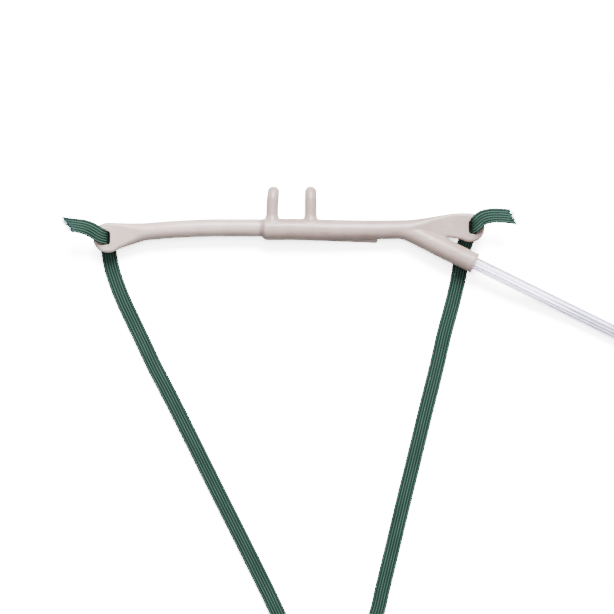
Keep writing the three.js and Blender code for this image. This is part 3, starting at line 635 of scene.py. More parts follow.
def yarn_mesh(name, starts, ways, lengths, bends, thickness):
    """Thin tubes, each along start + way s + bend s^2 with s from 0 to its length, tapering to
    its tip; bends is the sideways shift at the tip."""
    share = np.linspace(0, 1, YARN_ROWS)[None, :, None]
    line = starts[:, None] + ways[:, None] * lengths[:, None, None] * share
    line = line + bends[:, None] * share ** 2
    across = unit(np.cross(ways, [0.3, 0.2, 0.9]))
    other = np.cross(ways, across)
    turn = np.arange(YARN_SIDES) / YARN_SIDES * 2 * pi
    ring = across[:, None] * np.cos(turn)[:, None] + other[:, None] * np.sin(turn)[:, None]
    radius = YARN_RADIUS * thickness[:, None, None, None] * (1 - 0.6 * share[..., None])
    points = line[:, :, None] + ring[:, None] * radius
    per_yarn = YARN_ROWS * YARN_SIDES
    starts_at = np.arange(len(starts)) * per_yarn
    walls = np.vstack([grid_faces(YARN_ROWS, YARN_SIDES, offset) for offset in starts_at])
    cap = np.arange(YARN_SIDES)
    first = starts_at[:, None] + cap[::-1]
    last = starts_at[:, None] + (YARN_ROWS - 1) * YARN_SIDES + cap
    return new_piece(name, points, walls.tolist() + first.tolist() + last.tolist())


def end_yarns(name, row, outward, slant, seed, extra):
    """Yarns spread over the strap's end section, longer where the cut's slant reaches further."""
    chance = np.random.default_rng(seed)
    across = chance.uniform(-0.97, 0.97, YARNS_PER_END)
    depth = chance.uniform(-0.7, 0.7, YARNS_PER_END)
    tangent = strap_tangent[row] * outward
    starts = (
        strap_line[row]
        + strap_across[row] * (across * STRAP_WIDTH / 2)[:, None]
        + strap_normal[row] * (depth * STRAP_THICKNESS / 2)[:, None]
        + tangent * (slant * across + CUT_REACH - YARN_SHORT)[:, None]
    )
    scatter = chance.normal(0, 0.26, (YARNS_PER_END, 3))
    ways = unit(tangent + scatter)
    lengths = YARN_SHORT + chance.uniform(0.1, 1, YARNS_PER_END) ** 2 * YARN_SPREAD
    bends = chance.normal(0, 0.25, (YARNS_PER_END, 3)) * lengths[:, None]
    thickness = np.ones(YARNS_PER_END)
    if extra is not None:
        at_cut = strap_line[row] + tangent * (slant * extra[0] + CUT_REACH - YARN_SHORT)
        starts = np.vstack([starts, at_cut + strap_across[row] * extra[0] * STRAP_WIDTH / 2])
        thickness = np.append(thickness, LOOSE_THICKNESS)
        ways = np.vstack([ways, unit(np.array(extra[1]))])
        lengths = np.append(lengths, LOOSE_YARN)
        bends = np.vstack([bends, extra[2]])
    return yarn_mesh(name, starts, ways, lengths, bends, thickness)


left_yarns = end_yarns("left_end_yarns", 0, -1, LEFT_CUT, 3, None)
right_yarns = end_yarns("right_end_yarns", -1, 1, RIGHT_CUT, 5,
                        (-0.8, (1.0, 0.0, -0.1), (0.0004, 0.0012, 0.0)))
for yarns in (left_yarns, right_yarns):
    yarns.data.materials.append(elastic_yarn())
    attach(yarns, "root")


# Facepiece: milky, faintly pink soft vinyl. A moulded lip tube carries two curved prongs and a thin
# pad, and the left arm is welded into it. Both arms flatten into tabs with an eyelet each, and a
# socket branches off to the right. Closed surfaces are fused by a fine remesh and smoothed.
BODY_OD = 0.0086
BODY_END_OD = 0.0075
BODY_SAG = 0.0003
ARM_OD = 0.007
SHOULDER_START = -0.0122
SHOULDER_END = -0.0102
SHOULDER_GROOVE = -0.0122
GROOVE_WIDTH = 0.0009
GROOVE_DEPTH = 0.00012
ARM_RISE = 0.0006
ARM_DROOP = 0.00152
ARM_DROOP_START = -0.030
ARM_DROOP_POWER = 1.6
ARM_END = -0.058
TAB_THICKNESS = 0.0024
TAB_Z = 0.0058
LEFT_TAB = np.array([-0.0732, -0.0034, TAB_Z])
RIGHT_TAB = np.array([0.0715, 0.0006, TAB_Z])
LEFT_TAB_RADIUS = 0.0061
RIGHT_TAB_RADIUS = 0.0058
RIGHT_TAB_BOW = 0.00095
LEFT_TAB_FLARE = 1.2
RIGHT_TAB_FLARE = 1.8
LEFT_TAB_FLAT = 0.9
RIGHT_TAB_FLAT = 0.7
PAD_LEFT, PAD_RIGHT = -0.0096, 0.0347
PAD_FRONT, PAD_BACK = -0.00545, 0.0034
PAD_SKEW = 0.0017
PAD_THICKNESS = 0.0009
PAD_CORNER = 0.0008
PRONG_PITCH = 0.0155
PRONG_OD = 0.0047
PRONG_BORE = 0.0030
PRONG_REACH = 0.01775
PRONG_BEND_RADIUS = 0.0052
PRONG_BEND = radians(65)
PRONG_FLARE = 0.0009
PRONG_FLARE_START = 0.0036
PRONG_FLARE_LENGTH = 0.0024
TIP_OPENING = 0.00035
TIP_OPENING_DEPTH = 0.0006
LEFT_PRONG_LEAN = 0.0007
LEAN_BEFORE_BEND = 0.35
TIP_ROUND = 0.0007
EYELET_WIDTH = 0.0047
EYELET_LENGTH = 0.0056
EYELET_CORNER = 0.0013
EYELET_DROP = -0.0004
EYELET_LOW = 0.0009
EYELET_HIGH = 0.0030
EYELET_RIM = 0.00062
EYELET_ROUND = 0.0005
BRANCH_OD = 0.0081
BRANCH_RIM = 0.00018
BRANCH_RIM_LENGTH = 0.0016
COLLAR_GROOVE_BACK = 0.0012
COLLAR_GROOVE_WIDTH = 0.0003
COLLAR_GROOVE_DEPTH = 0.00034
COLLAR_CUTTER = 0.0050
SOCKET_BORE = 0.0058
ELBOW_TANGENT = 0.0042
ELBOW_START = 0.0036
ELBOW_END = 0.0039
WEB_START = 0.057
WEB_END = 0.0624
WEB_Z = 0.0056
WEB_OVERLAP = 0.0009
WEB_EDGE = 0.0012
WEB_THICKNESS = 0.0022
VOXEL = 0.00028
SMOOTHING_STEPS = 6


def blend_values(a, b, share):
    """a where the share is 0 and b where it is 1."""
    return a + (b - a) * share


def body_section(x):
    """Middle y and z, half width and half height of the facepiece at x: a round tube that eases
    up to the lip tube at the shoulder and out to a flat tab at either end."""
    left = np.clip((ARM_END - x) / (ARM_END - LEFT_TAB[0]), 0, 1)
    right = np.clip((x - BRANCH_ROOT[0]) / (RIGHT_TAB[0] - BRANCH_ROOT[0]), 0, 1)
    droop = np.clip((ARM_DROOP_START - x) / (ARM_DROOP_START - ARM_END), 0, 1)
    on_body = ease((x - SHOULDER_START) / (SHOULDER_END - SHOULDER_START))
    body_share = np.clip(x / BRANCH_ROOT[0], 0, 1)
    arm_y = ARM_RISE - ARM_DROOP * droop ** ARM_DROOP_POWER
    y = blend_values(arm_y, -BODY_SAG * np.sin(pi * body_share), on_body)
    y = blend_values(y, LEFT_TAB[1], left)
    y = y + right * RIGHT_TAB[1] + RIGHT_TAB_BOW * np.sin(pi * right ** RIGHT_TAB_FLARE)
    z = AXIS_Z + (TAB_Z - AXIS_Z) * (ease(left) + ease(right))
    radius = blend_values(BODY_OD, BODY_END_OD, ease(body_share)) / 2
    radius = blend_values(ARM_OD / 2, radius, on_body)
    radius = radius - GROOVE_DEPTH * np.exp(-((x - SHOULDER_GROOVE) / GROOVE_WIDTH) ** 2)
    width = blend_values(radius, LEFT_TAB_RADIUS, left ** LEFT_TAB_FLARE)
    width = blend_values(width, RIGHT_TAB_RADIUS, right ** RIGHT_TAB_FLARE)
    height = blend_values(radius, TAB_THICKNESS / 2, ease(left / LEFT_TAB_FLAT))
    height = blend_values(height, TAB_THICKNESS / 2, ease(right / RIGHT_TAB_FLAT))
    return y, z, width, height


def closed_loft(rings):
    """Points and faces of rings of equal count, each end closed by one face."""
    rows, columns = rings.shape[:2]
    walls = grid_faces(rows, columns).tolist()
    start = list(range(columns))[::-1]
    end = [(rows - 1) * columns + j for j in range(columns)]
    return rings.reshape(-1, 3), walls + [start, end]


def fused(parts, name):
    """One mesh object of several closed (points, faces) parts."""
    offsets = np.append(0, np.cumsum([len(points) for points, _ in parts]))
    faces = [[k + offset for k in face] for (_, part), offset in zip(parts, offsets) for face in part]
    return new_piece(name, np.vstack([points for points, _ in parts]), faces)


def lip_tube():
    """Across each section two half rounds joined by flats, carried from tab to tab."""
    x = np.linspace(LEFT_TAB[0], RIGHT_TAB[0], 420)
    y, z, width, height = (v[:, None] for v in body_section(x))
    turn = -np.arange(64) / 64 * 2 * pi
    flat = np.maximum(0, width - height) * np.sign(np.round(np.cos(turn), 9))
    rings = np.stack([
        np.repeat(x[:, None], 64, axis=1),
        y + flat + height * np.cos(turn),
        z + height * np.sin(turn),
    ], axis=2)
    return closed_loft(rings)


def tab_end(centre, radius):
    """A disc with a fully rounded rim, the half round of its rim turned about its middle."""
    rim = np.linspace(-pi / 2, pi / 2, 17)
    profile = radius - TAB_THICKNESS / 2 * (1 - np.cos(rim))
    turn = np.arange(96) / 96 * 2 * pi
    rings = np.stack([
        centre[0] + profile[:, None] * np.cos(turn),
        centre[1] + profile[:, None] * np.sin(turn),
        np.repeat(centre[2] + TAB_THICKNESS / 2 * np.sin(rim)[:, None], 96, axis=1),
    ], axis=2)
    return closed_loft(rings)


def rounded_rectangle(width, length, corner, count=96):
    """Points round a rectangle with arc corners: a circle of the corner's radius pushed out to
    the four corners, anticlockwise."""
    turn = (np.arange(count) + 0.5) / count * 2 * pi
    out_x = np.sign(np.cos(turn)) * (width / 2 - corner)
    out_y = np.sign(np.sin(turn)) * (length / 2 - corner)
    return np.stack([out_x + corner * np.cos(turn), out_y + corner * np.sin(turn)], axis=1)


def looped_faces(rows, columns):
    """Quads of a grid that closes on itself both ways."""
    return grid_faces(rows + 1, columns, flip=True) % (rows * columns)


def eyelet_rim(centre):
    """A round bead carried round the eyelet's outline, a little proud of the tab on both sides."""
    turn = np.arange(20) / 20 * 2 * pi
    margin = EYELET_RIM * (1 - np.cos(turn))
    lift = (TAB_THICKNESS / 2 + 0.00025) * np.sin(turn)
    rings = []
    for grow, up in zip(margin, lift):
        outline = rounded_rectangle(EYELET_WIDTH + 2 * grow, EYELET_LENGTH + 2 * grow, EYELET_CORNER + grow)
        rings.append(np.column_stack([outline + centre[:2], np.full(len(outline), centre[2] + up)]))
    rings = np.stack(rings).transpose(1, 0, 2)
    return rings.reshape(-1, 3), looped_faces(*rings.shape[:2]).tolist()


def eyelet_cut(centre, side):
    """The hole's outline from below to above the tab, opening as a quarter round at each face.
    The wall that the strap leaves over slopes from a low distance to a high one."""
    level = np.linspace(-0.0030, 0.0030, 61)
    past = np.clip((np.abs(level) - (TAB_THICKNESS / 2 + 0.0002 - EYELET_ROUND)) / EYELET_ROUND, 0, 1)
    grow = EYELET_ROUND * (1 - np.sqrt(1 - past ** 2)) + np.clip(np.abs(level) - 0.0014, 0, 1) * 2
    reach = blend_values(EYELET_LOW, EYELET_HIGH, ease(level / TAB_THICKNESS + 0.5))
    middle = centre[:2] + np.array([0, EYELET_DROP])
    rings = [
        np.column_stack([
            rounded_rectangle(EYELET_WIDTH / 2 + r + 2 * g, EYELET_LENGTH + 2 * g, EYELET_CORNER + g)
            + middle + [side * (r - EYELET_WIDTH / 2) / 2, 0],
            np.full(96, centre[2] + z),
        ])
        for g, r, z in zip(grow, reach, level)
    ]
    return closed_loft(np.stack(rings))


def squared_off(wave):
    """A sine or cosine pushed out towards a square wave, so that an oval turns nearly oblong."""
    return np.sign(wave) * np.abs(wave) ** 0.3


def lip_pad():
    """A flat slab with rounded long edges: squared-off ovals carried along x, narrowing in a
    quarter round at the two ends."""
    x = np.linspace(PAD_LEFT, PAD_RIGHT, 220)
    front = PAD_FRONT + PAD_SKEW * (PAD_RIGHT - x) / (PAD_RIGHT - PAD_LEFT)
    to_end = np.clip(np.minimum(x - PAD_LEFT, PAD_RIGHT - x) / PAD_CORNER, 0, 1)
    inset = PAD_CORNER * (1 - np.sqrt(1 - (1 - to_end) ** 2))
    middle = (front + PAD_BACK) / 2
    half = (PAD_BACK - front) / 2 - inset
    turn = -(np.arange(80) + 0.5) / 80 * 2 * pi
    rings = np.stack([
        np.repeat(x[:, None], 80, axis=1),
        middle[:, None] + half[:, None] * squared_off(np.cos(turn)),
        np.tile(PAD_THICKNESS / 2 * (1 + squared_off(np.sin(turn))), (len(x), 1)),
    ], axis=2)
    return closed_loft(rings)


def prong_line(x, lean, overrun):
    """Straight out from the lip tube, then round the bend, on past its end by the overrun."""
    rim_reach = PRONG_OD / 2 * sin(PRONG_BEND)
    bend_start = PRONG_REACH - rim_reach - PRONG_BEND_RADIUS * sin(PRONG_BEND)
    share = np.linspace(0, 1, 4)
    bend = np.stack([
        x + lean * blend_values(LEAN_BEFORE_BEND, 1, share),
        bend_start + PRONG_BEND_RADIUS * np.sin(PRONG_BEND * share),
        AXIS_Z - PRONG_BEND_RADIUS * (1 - np.cos(PRONG_BEND * share)),
    ], axis=1)
    points = np.vstack([[x, 0, AXIS_Z], [x + lean / 6, bend_start / 2, AXIS_Z], bend])
    if overrun:
        way = np.array([0, cos(PRONG_BEND), -sin(PRONG_BEND)])
        points = np.vstack([points, points[-1] + way * overrun])
    line = smooth_line(points, per_span=16)
    return respace(line, np.linspace(0, along(line)[-1], 90))


def prong(x, lean):
    """A tube that flares into the lip tube and whose tip's edge is a quarter round."""
    line = prong_line(x, lean, 0)
    place = along(line)
    flare = PRONG_FLARE * np.clip(1 - (place - PRONG_FLARE_START) / PRONG_FLARE_LENGTH, 0, 1) ** 2
    to_tip = np.clip((place[-1] - place) / TIP_ROUND, 0, 1)
    radius = PRONG_OD / 2 + flare - TIP_ROUND * (1 - np.sqrt(1 - (1 - to_tip) ** 2))
    return closed_loft(tube_surface(line, np.repeat(radius[:, None], 40, axis=1)))


def prong_cut(x, lean):
    """The bore, opening a little at the tip."""
    overrun = 0.002
    line = prong_line(x, lean, overrun)
    place = along(line)
    past = (place - (place[-1] - overrun)) / TIP_OPENING_DEPTH + 1
    opening = TIP_OPENING * np.clip(past, 0, 4) ** 2
    radius = PRONG_BORE / 2 + opening
    return closed_loft(tube_surface(line[30:], np.repeat(radius[30:, None], 32, axis=1)))


def on_branch(profile, sides):
    """A profile of [distance from the root, radius] turned about the branch's axis."""
    profile = np.asarray(profile)
    line = BRANCH_ROOT + branch_heading * profile[:, :1]
    side = unit(np.cross([0.0, 0.0, 1.0], branch_heading))
    other = np.cross(branch_heading, side)
    turn = np.arange(sides) / sides * 2 * pi
    ring = side * np.cos(turn)[:, None] + other * np.sin(turn)[:, None]
    return closed_loft(line[:, None] + ring * profile[:, 1][:, None, None])


def branch():
    """Swells from a slim neck to its full size, with a low rim rounded at the mouth."""
    swell = smooth_line(np.array([
        [0.0, 0.00265], [0.00306, 0.00279], [0.00527, 0.00328], [0.00765, 0.0037],
        [0.01156, 0.00395], [0.017, BRANCH_OD / 2], [0.024, BRANCH_OD / 2],
        [BRANCH_LENGTH - 0.003, BRANCH_OD / 2],
    ]))
    rim = BRANCH_OD / 2 + BRANCH_RIM
    start = BRANCH_LENGTH - BRANCH_RIM_LENGTH
    mouth_edge = [[start - 0.0003, BRANCH_OD / 2], [start, rim], [BRANCH_LENGTH - 0.0003, rim],
                  [BRANCH_LENGTH - 0.0001, rim - 0.00012], [BRANCH_LENGTH, rim - 0.0003]]
    return on_branch(np.vstack([swell, mouth_edge]), 64)


def elbow():
    """A round tube that leaves the lip tube's axis on an arc and runs on into the branch."""
    before = np.array([[BRANCH_ROOT[0] - ELBOW_TANGENT - d, 0.0, AXIS_Z] for d in (0.007, 0.0035, 0.0)])
    radius = ELBOW_TANGENT / np.tan(BRANCH_ANGLE / 2)
    turn = np.linspace(0, BRANCH_ANGLE, 7)[1:, None]
    start = before[-1]
    arc = start + np.hstack([radius * np.sin(turn), -radius * (1 - np.cos(turn)), 0 * turn])
    after = BRANCH_ROOT + branch_heading * (ELBOW_TANGENT + np.array([[0.004], [0.008]]))
    line = smooth_line(np.vstack([before, arc[:-1], after]), per_span=6)
    share = along(line)[:, None] / along(line)[-1]
    thick = blend_values(ELBOW_START, ELBOW_END, ease(share))
    return closed_loft(tube_surface(line, np.repeat(thick, 48, axis=1)))


def socket_cut():
    """The socket's bore, opening as a small bevel at the mouth."""
    bore = SOCKET_BORE / 2
    return on_branch([
        [BRANCH_LENGTH - SOCKET_DEPTH, bore],
        [BRANCH_LENGTH - 0.0005, bore],
        [BRANCH_LENGTH - 0.0002, bore + 0.0001],
        [BRANCH_LENGTH, bore + 0.0003],
        [BRANCH_LENGTH + 0.002, bore + 0.0023],
    ], 56)


def collar_groove():
    """A thin ring round the branch that cuts a shallow line just behind its mouth."""
    start = BRANCH_LENGTH - COLLAR_GROOVE_BACK - COLLAR_GROOVE_WIDTH / 2
    end = start + COLLAR_GROOVE_WIDTH
    inner = BRANCH_OD / 2 + BRANCH_RIM - COLLAR_GROOVE_DEPTH
    outer = COLLAR_CUTTER
    profile = np.array([[start, outer], [end, outer], [end, inner], [start, inner], [start, outer]])
    points, faces = on_branch(profile, 64)
    return points[:4 * 64], [[k % (4 * 64) for k in face] for face in faces[:4 * 64]]


def web():
    """A plate that fills the notch between the branch and the right tab, thinning to its edge."""
    x = np.linspace(WEB_START, WEB_END, 40)
    y, _, width, _ = body_section(x)
    upper = y - width + WEB_OVERLAP
    lower = (BRANCH_ROOT[0] - x) * np.tan(BRANCH_ANGLE) + BRANCH_OD / 2 / cos(BRANCH_ANGLE) - WEB_OVERLAP
    half = np.abs(upper - lower) / 2
    thick = WEB_THICKNESS / 2 * np.sqrt(np.clip((WEB_END - x) / WEB_EDGE, 0.02, 1))
    turn = -np.arange(40) / 40 * 2 * pi
    rings = np.stack([
        np.repeat(x[:, None], 40, axis=1),
        ((upper + lower) / 2)[:, None] + half[:, None] * np.cos(turn),
        WEB_Z + thick[:, None] * np.sin(turn),
    ], axis=2)
    return closed_loft(rings)


def apply_modifiers(piece):
    """Puts the shape that the modifiers give into the mesh and removes them."""
    graph = bpy.context.evaluated_depsgraph_get()
    made = bpy.data.meshes.new_from_object(piece.evaluated_get(graph))
    piece.modifiers.clear()
    piece.data = made


def facepiece_mesh():
    """All the parts fused and smoothed, then cut by the bores, the socket and the eyelets."""
    half = PRONG_PITCH / 2
    piece = fused([
        lip_tube(),
        tab_end(LEFT_TAB, LEFT_TAB_RADIUS),
        tab_end(RIGHT_TAB, RIGHT_TAB_RADIUS),
        eyelet_rim(LEFT_EYELET),
        eyelet_rim(RIGHT_EYELET),
        lip_pad(),
        prong(-half, LEFT_PRONG_LEAN),
        prong(half, 0),
        elbow(),
        branch(),
        web(),
    ], "soft_facepiece")
    remesh = piece.modifiers.new("fuse", "REMESH")
    remesh.mode = "VOXEL"
    remesh.voxel_size = VOXEL
    smooth = piece.modifiers.new("soften", "SMOOTH")
    smooth.factor = 0.5
    smooth.iterations = SMOOTHING_STEPS
    apply_modifiers(piece)
    cutter = fused([
        eyelet_cut(LEFT_EYELET, -1),
        eyelet_cut(RIGHT_EYELET, 1),
        prong_cut(-half, LEFT_PRONG_LEAN),
        prong_cut(half, 0),
        socket_cut(),
        collar_groove(),
    ], "facepiece_cutter")
    cut = piece.modifiers.new("cut", "BOOLEAN")
    cut.operation = "DIFFERENCE"
    cut.object = cutter
    cut.solver = "EXACT"
    apply_modifiers(piece)
    bpy.data.objects.remove(cutter)
    piece.data.polygons.foreach_set("use_smooth", np.ones(len(piece.data.polygons), bool))
    piece.data.set_sharp_from_angle(angle=radians(55))
    return piece


BAND_MIDDLE = -0.0117
SHADE_BAND_HALF = 0.0008
BAND_FADE = 0.0007
RIGHT_OF_WELD_TINT = (0.745, 0.705, 0.695, 1)


def vinyl_grain():
    """Fine noise as a plain value, as a roughness between two limits and as a shallow bump."""
    group, given = new_group(
        "vinyl_grain",
        [("Vector", "Vector"), ("Scale", "Float"), ("Detail", "Float"), ("Smoothest", "Float"),
         ("Roughest", "Float")],
        [("Grain", "Float"), ("Roughness", "Float"), ("Normal", "Vector")],
    )
    noise = node(group, "ShaderNodeTexNoise",
                 {"Vector": (given, "Vector"), "Scale": (given, "Scale"), "Detail": (given, "Detail")})
    rough = node(group, "ShaderNodeMapRange",
                 {"Value": (noise, "Fac"), "To Min": (given, "Smoothest"), "To Max": (given, "Roughest")})
    bump = node(group, "ShaderNodeBump", {"Height": (noise, "Fac"), "Strength": 0.3, "Distance": 0.0001})
    node(group, "NodeGroupOutput",
         {"Grain": (noise, "Fac"), "Roughness": (rough, "Result"), "Normal": (bump, "Normal")})
    return group


grain_group = vinyl_grain()


def grain_in(tree, place, scale, detail, smoothest, roughest):
    """The grain group placed in a material, on Object coordinates."""
    return node(tree, "ShaderNodeGroup",
                {"Vector": (place, "Object"), "Scale": scale, "Detail": detail, "Smoothest": smoothest,
                 "Roughest": roughest},
                node_tree=grain_group)


def milky_vinyl():
    """Soft vinyl: a faint cloudiness in its colour, a fine uneven skin, and a little light that
    passes through it. The vinyl right of the weld is tinted darker and pinker than the left arm,
    and a darker band at the weld is painted shade in the shoulder's step and groove."""
    material, tree, shader = new_material("milky_vinyl")
    place = node(tree, "ShaderNodeTexCoord")
    clouds = node(tree, "ShaderNodeTexNoise", {"Vector": (place, "Object"), "Scale": 180, "Detail": 5})
    grain = grain_in(tree, place, 2600, 3, 0.26, 0.44)
    waves = node(tree, "ShaderNodeTexNoise", {"Vector": (place, "Object"), "Scale": 420, "Detail": 2})
    tint = node(tree, "ShaderNodeValToRGB", {"Fac": (clouds, "Fac")})
    tint.color_ramp.elements[0].position = 0.3
    tint.color_ramp.elements[0].color = (0.395, 0.303, 0.274, 1)
    tint.color_ramp.elements[1].position = 0.7
    tint.color_ramp.elements[1].color = (0.465, 0.37, 0.34, 1)
    parts = node(tree, "ShaderNodeSeparateXYZ", {"Vector": (place, "Object")})
    # Everything right of the weld is tinted darker and pinker than the left arm.
    right_of_weld = node(tree, "ShaderNodeMapRange", {"Value": (parts, "X"), "From Min": BAND_MIDDLE - BAND_FADE,
                                                "From Max": BAND_MIDDLE + BAND_FADE})
    tint = node(tree, "ShaderNodeMix", {0: (right_of_weld, "Result"), 6: (tint, "Color"), 7: RIGHT_OF_WELD_TINT},
                data_type="RGBA", blend_type="MULTIPLY")
    # Painted shade: a darker band at the weld, for the shade in the shoulder's step and groove.
    off_shade_band = node(tree, "ShaderNodeMath", {0: (parts, "X"), 1: BAND_MIDDLE}, operation="SUBTRACT")
    off_shade_band = node(tree, "ShaderNodeMath", {0: (off_shade_band, "Value")}, operation="ABSOLUTE")
    band = node(tree, "ShaderNodeMapRange",
                {"Value": (off_shade_band, "Value"), "From Min": SHADE_BAND_HALF, "From Max": SHADE_BAND_HALF + BAND_FADE,
                 "To Min": 0.75, "To Max": 0.0},
                interpolation_type="SMOOTHSTEP")
    tint = node(tree, "ShaderNodeMix", {0: (band, "Result"), 6: (tint, 2), 7: (0.25, 0.187, 0.163, 1)},
                data_type="RGBA")
    draw_lines = streaks_in(tree, (place, "Object"), (38, 620, 300), 3)
    skin = node(tree, "ShaderNodeMath", {0: (grain, "Grain"), 1: 0.25, 2: (waves, "Fac")},
                operation="MULTIPLY_ADD")
    skin = node(tree, "ShaderNodeMath", {0: (draw_lines, "Streaks"), 1: 1.6, 2: (skin, "Value")},
                operation="MULTIPLY_ADD")
    bump = node(tree, "ShaderNodeBump", {"Height": (skin, "Value"), "Strength": 0.35, "Distance": 0.00025})
    tree.links.new(tint.outputs[2], shader.inputs["Base Color"])
    tree.links.new(grain.outputs["Roughness"], shader.inputs["Roughness"])
    tree.links.new(bump.outputs["Normal"], shader.inputs["Normal"])
    shader.inputs["Subsurface Weight"].default_value = 0.25
    shader.inputs["Subsurface Radius"].default_value = (1.0, 0.7, 0.55)
    shader.inputs["Subsurface Scale"].default_value = 0.0012
    shader.inputs["IOR"].default_value = 1.5
    return material


facepiece = facepiece_mesh()
facepiece.data.materials.clear()
facepiece.data.materials.append(milky_vinyl())
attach(facepiece, "root")
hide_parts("facepiece")


# Tubing connector: a soft funnel of frosted clear vinyl on the tubing's far end, which pushes onto
# a gas outlet. It is turned about the tubing's axis: a neck with shallow grip rings, then a flare.
CONNECTOR_LENGTH = 0.035
NECK_RADIUS = 0.0039
NECK_LENGTH = 0.013
MOUTH_RADIUS = 0.0055
MOUTH_BORE = 0.0038
CONNECTOR_SOCKET = 0.0029
CONNECTOR_LUMEN = 0.0018
EDGE_ROUND = 0.0005
GRIP_START, GRIP_END = 0.002, 0.0115
GRIP_RINGS = 6
GRIP_DEPTH = 0.00022
CONNECTOR_SIDES = 64


def rounded_edge(inner, outer, end, way):
    """Two quarter circles of [distance, radius] that take the outer wall round an end to the inner."""
    turn = np.linspace(0, pi / 2, 7)
    rise = EDGE_ROUND * (1 - np.sin(turn))
    fall = EDGE_ROUND * (1 - np.cos(turn))
    first = np.stack([end - way * rise, outer - fall], axis=1)
    last = np.stack([end - way * fall, inner + rise], axis=1)
    return np.vstack([first, last])


def connector_mesh():
    """Outside from neck to mouth, its neck less a cosine ring GRIP_RINGS times, then the bore back
    to the socket, all turned about the axis that runs along y."""
    neck = np.linspace(GRIP_START, GRIP_END, GRIP_RINGS * 10 + 1)
    wave = 1 - np.cos(2 * pi * GRIP_RINGS * (neck - GRIP_START) / (GRIP_END - GRIP_START))
    grip = np.stack([neck, NECK_RADIUS - GRIP_DEPTH / 2 * wave], axis=1)
    flare = smooth_line(np.array([
        [NECK_LENGTH, NECK_RADIUS], [0.0174, 0.0044], [0.024, 0.0051], [0.032, MOUTH_RADIUS],
        [CONNECTOR_LENGTH - 2 * EDGE_ROUND, MOUTH_RADIUS],
    ]))
    mouth_bore = smooth_line(np.array([
        [CONNECTOR_LENGTH - 2 * EDGE_ROUND, MOUTH_BORE], [0.0185, 0.0029], [NECK_LENGTH, CONNECTOR_LUMEN],
    ]))
    socket = np.array([
        [SOCKET_DEPTH, CONNECTOR_LUMEN], [SOCKET_DEPTH, CONNECTOR_SOCKET], [2 * EDGE_ROUND, CONNECTOR_SOCKET],
    ])
    profile = np.vstack([
        grip,
        flare,
        rounded_edge(MOUTH_BORE, MOUTH_RADIUS, CONNECTOR_LENGTH, 1),
        mouth_bore,
        socket,
        rounded_edge(CONNECTOR_SOCKET, NECK_RADIUS, 0.0, -1)[::-1],
    ])
    turn = np.arange(CONNECTOR_SIDES) / CONNECTOR_SIDES * 2 * pi
    points = np.stack([
        last_turn[0] + profile[:, 1:] * np.cos(turn),
        np.repeat(connector_start + profile[:, :1], CONNECTOR_SIDES, axis=1),
        CONNECTOR_AXIS_Z + profile[:, 1:] * np.sin(turn),
    ], axis=2)
    return new_piece("funnel_connector", points, looped_faces(len(profile), CONNECTOR_SIDES))


def frosted_vinyl():
    """Frosted clear vinyl: see-through with a fine grain that scatters, and faint cloudy bands."""
    material, tree, shader = new_material("frosted_vinyl")
    place = node(tree, "ShaderNodeTexCoord")
    cloud = node(tree, "ShaderNodeTexNoise", {"Vector": (place, "Object"), "Scale": 240, "Detail": 3})
    grain = grain_in(tree, place, 3200, 2, 0.22, 0.42)
    tint = node(tree, "ShaderNodeValToRGB", {"Fac": (cloud, "Fac")})
    tint.color_ramp.elements[0].position = 0.35
    tint.color_ramp.elements[0].color = (0.62, 0.64, 0.68, 1)
    tint.color_ramp.elements[1].position = 0.65
    tint.color_ramp.elements[1].color = (0.8, 0.82, 0.85, 1)
    tree.links.new(tint.outputs["Color"], shader.inputs["Base Color"])
    tree.links.new(grain.outputs["Roughness"], shader.inputs["Roughness"])
    tree.links.new(grain.outputs["Normal"], shader.inputs["Normal"])
    shader.inputs["Transmission Weight"].default_value = 0.75
    shader.inputs["IOR"].default_value = 1.45
    return material


connector = connector_mesh()
connector.data.set_sharp_from_angle(angle=radians(50))
connector.data.materials.append(frosted_vinyl())
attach(connector, "root")
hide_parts("tubing_connector")


# Coil ties: two flat bands of matt white vinyl that hold the spare turns together. Each goes once
# round the coil's section, and its free end is lapped over the start and glued, on the outside.
TIE_THICKNESS = 0.0007
TIE_WIDTH = 0.005
TIE_CLEARANCE = 0.0003
TIE_CORNER = 0.0026
TIE_OPENING = 0.01636
TIE_SHIFT = 0.02722
LAP_LENGTH = 0.009
LAP_THICKNESS = 0.0005
LAP_SINK = 0.00008


def strip_profile(thickness, width):
    """Round a flat strip's section with half-round edges: [height above its face, place across]."""
    turn = np.linspace(-pi / 2, pi / 2, 7)
    edge = thickness / 2
    one = np.stack([edge - edge * np.sin(turn)[::-1], (width / 2 - edge) + edge * np.cos(turn)], axis=1)
    return np.vstack([one, [1, -1] * one[::-1]])


def tie_mesh(name, side):
    """The strip's section carried round a rounded rectangle, and a short lap on its outer face."""
    middle_y = coil_centre[1] + side * TIE_SHIFT
    height = COIL_LAYERS * TUBING_OD
    middle_z = COIL_BOTTOM + height / 2
    profile = strip_profile(TIE_THICKNESS, TIE_WIDTH)
    rings = []
    for grow, across in profile:
        outline = rounded_rectangle(
            TIE_OPENING + 2 * grow, height + 2 * TIE_CLEARANCE + 2 * grow, TIE_CORNER + grow, 72)
        rings.append(np.column_stack([
            np.full(72, coil_centre[0] + across), middle_y + outline[:, 0], middle_z + outline[:, 1]]))
    band = np.stack(rings)
    lap_profile = strip_profile(LAP_THICKNESS, TIE_WIDTH)
    outer_y = side * (TIE_OPENING / 2 + TIE_THICKNESS - LAP_SINK)
    levels = np.linspace(-LAP_LENGTH / 2, LAP_LENGTH / 2, 24)
    slim = np.sqrt(np.clip((LAP_LENGTH / 2 - np.abs(levels)) / LAP_THICKNESS, 0.05, 1))
    lap = np.stack([
        np.column_stack([
            coil_centre[0] + side * lap_profile[:, 1],
            middle_y + outer_y + side * lap_profile[:, 0] * thin,
            np.full(len(lap_profile), middle_z + level),
        ])
        for level, thin in zip(levels, slim)
    ])
    return fused([
        (band.reshape(-1, 3), looped_faces(len(profile), 72).tolist()),
        closed_loft(lap),
    ], name)


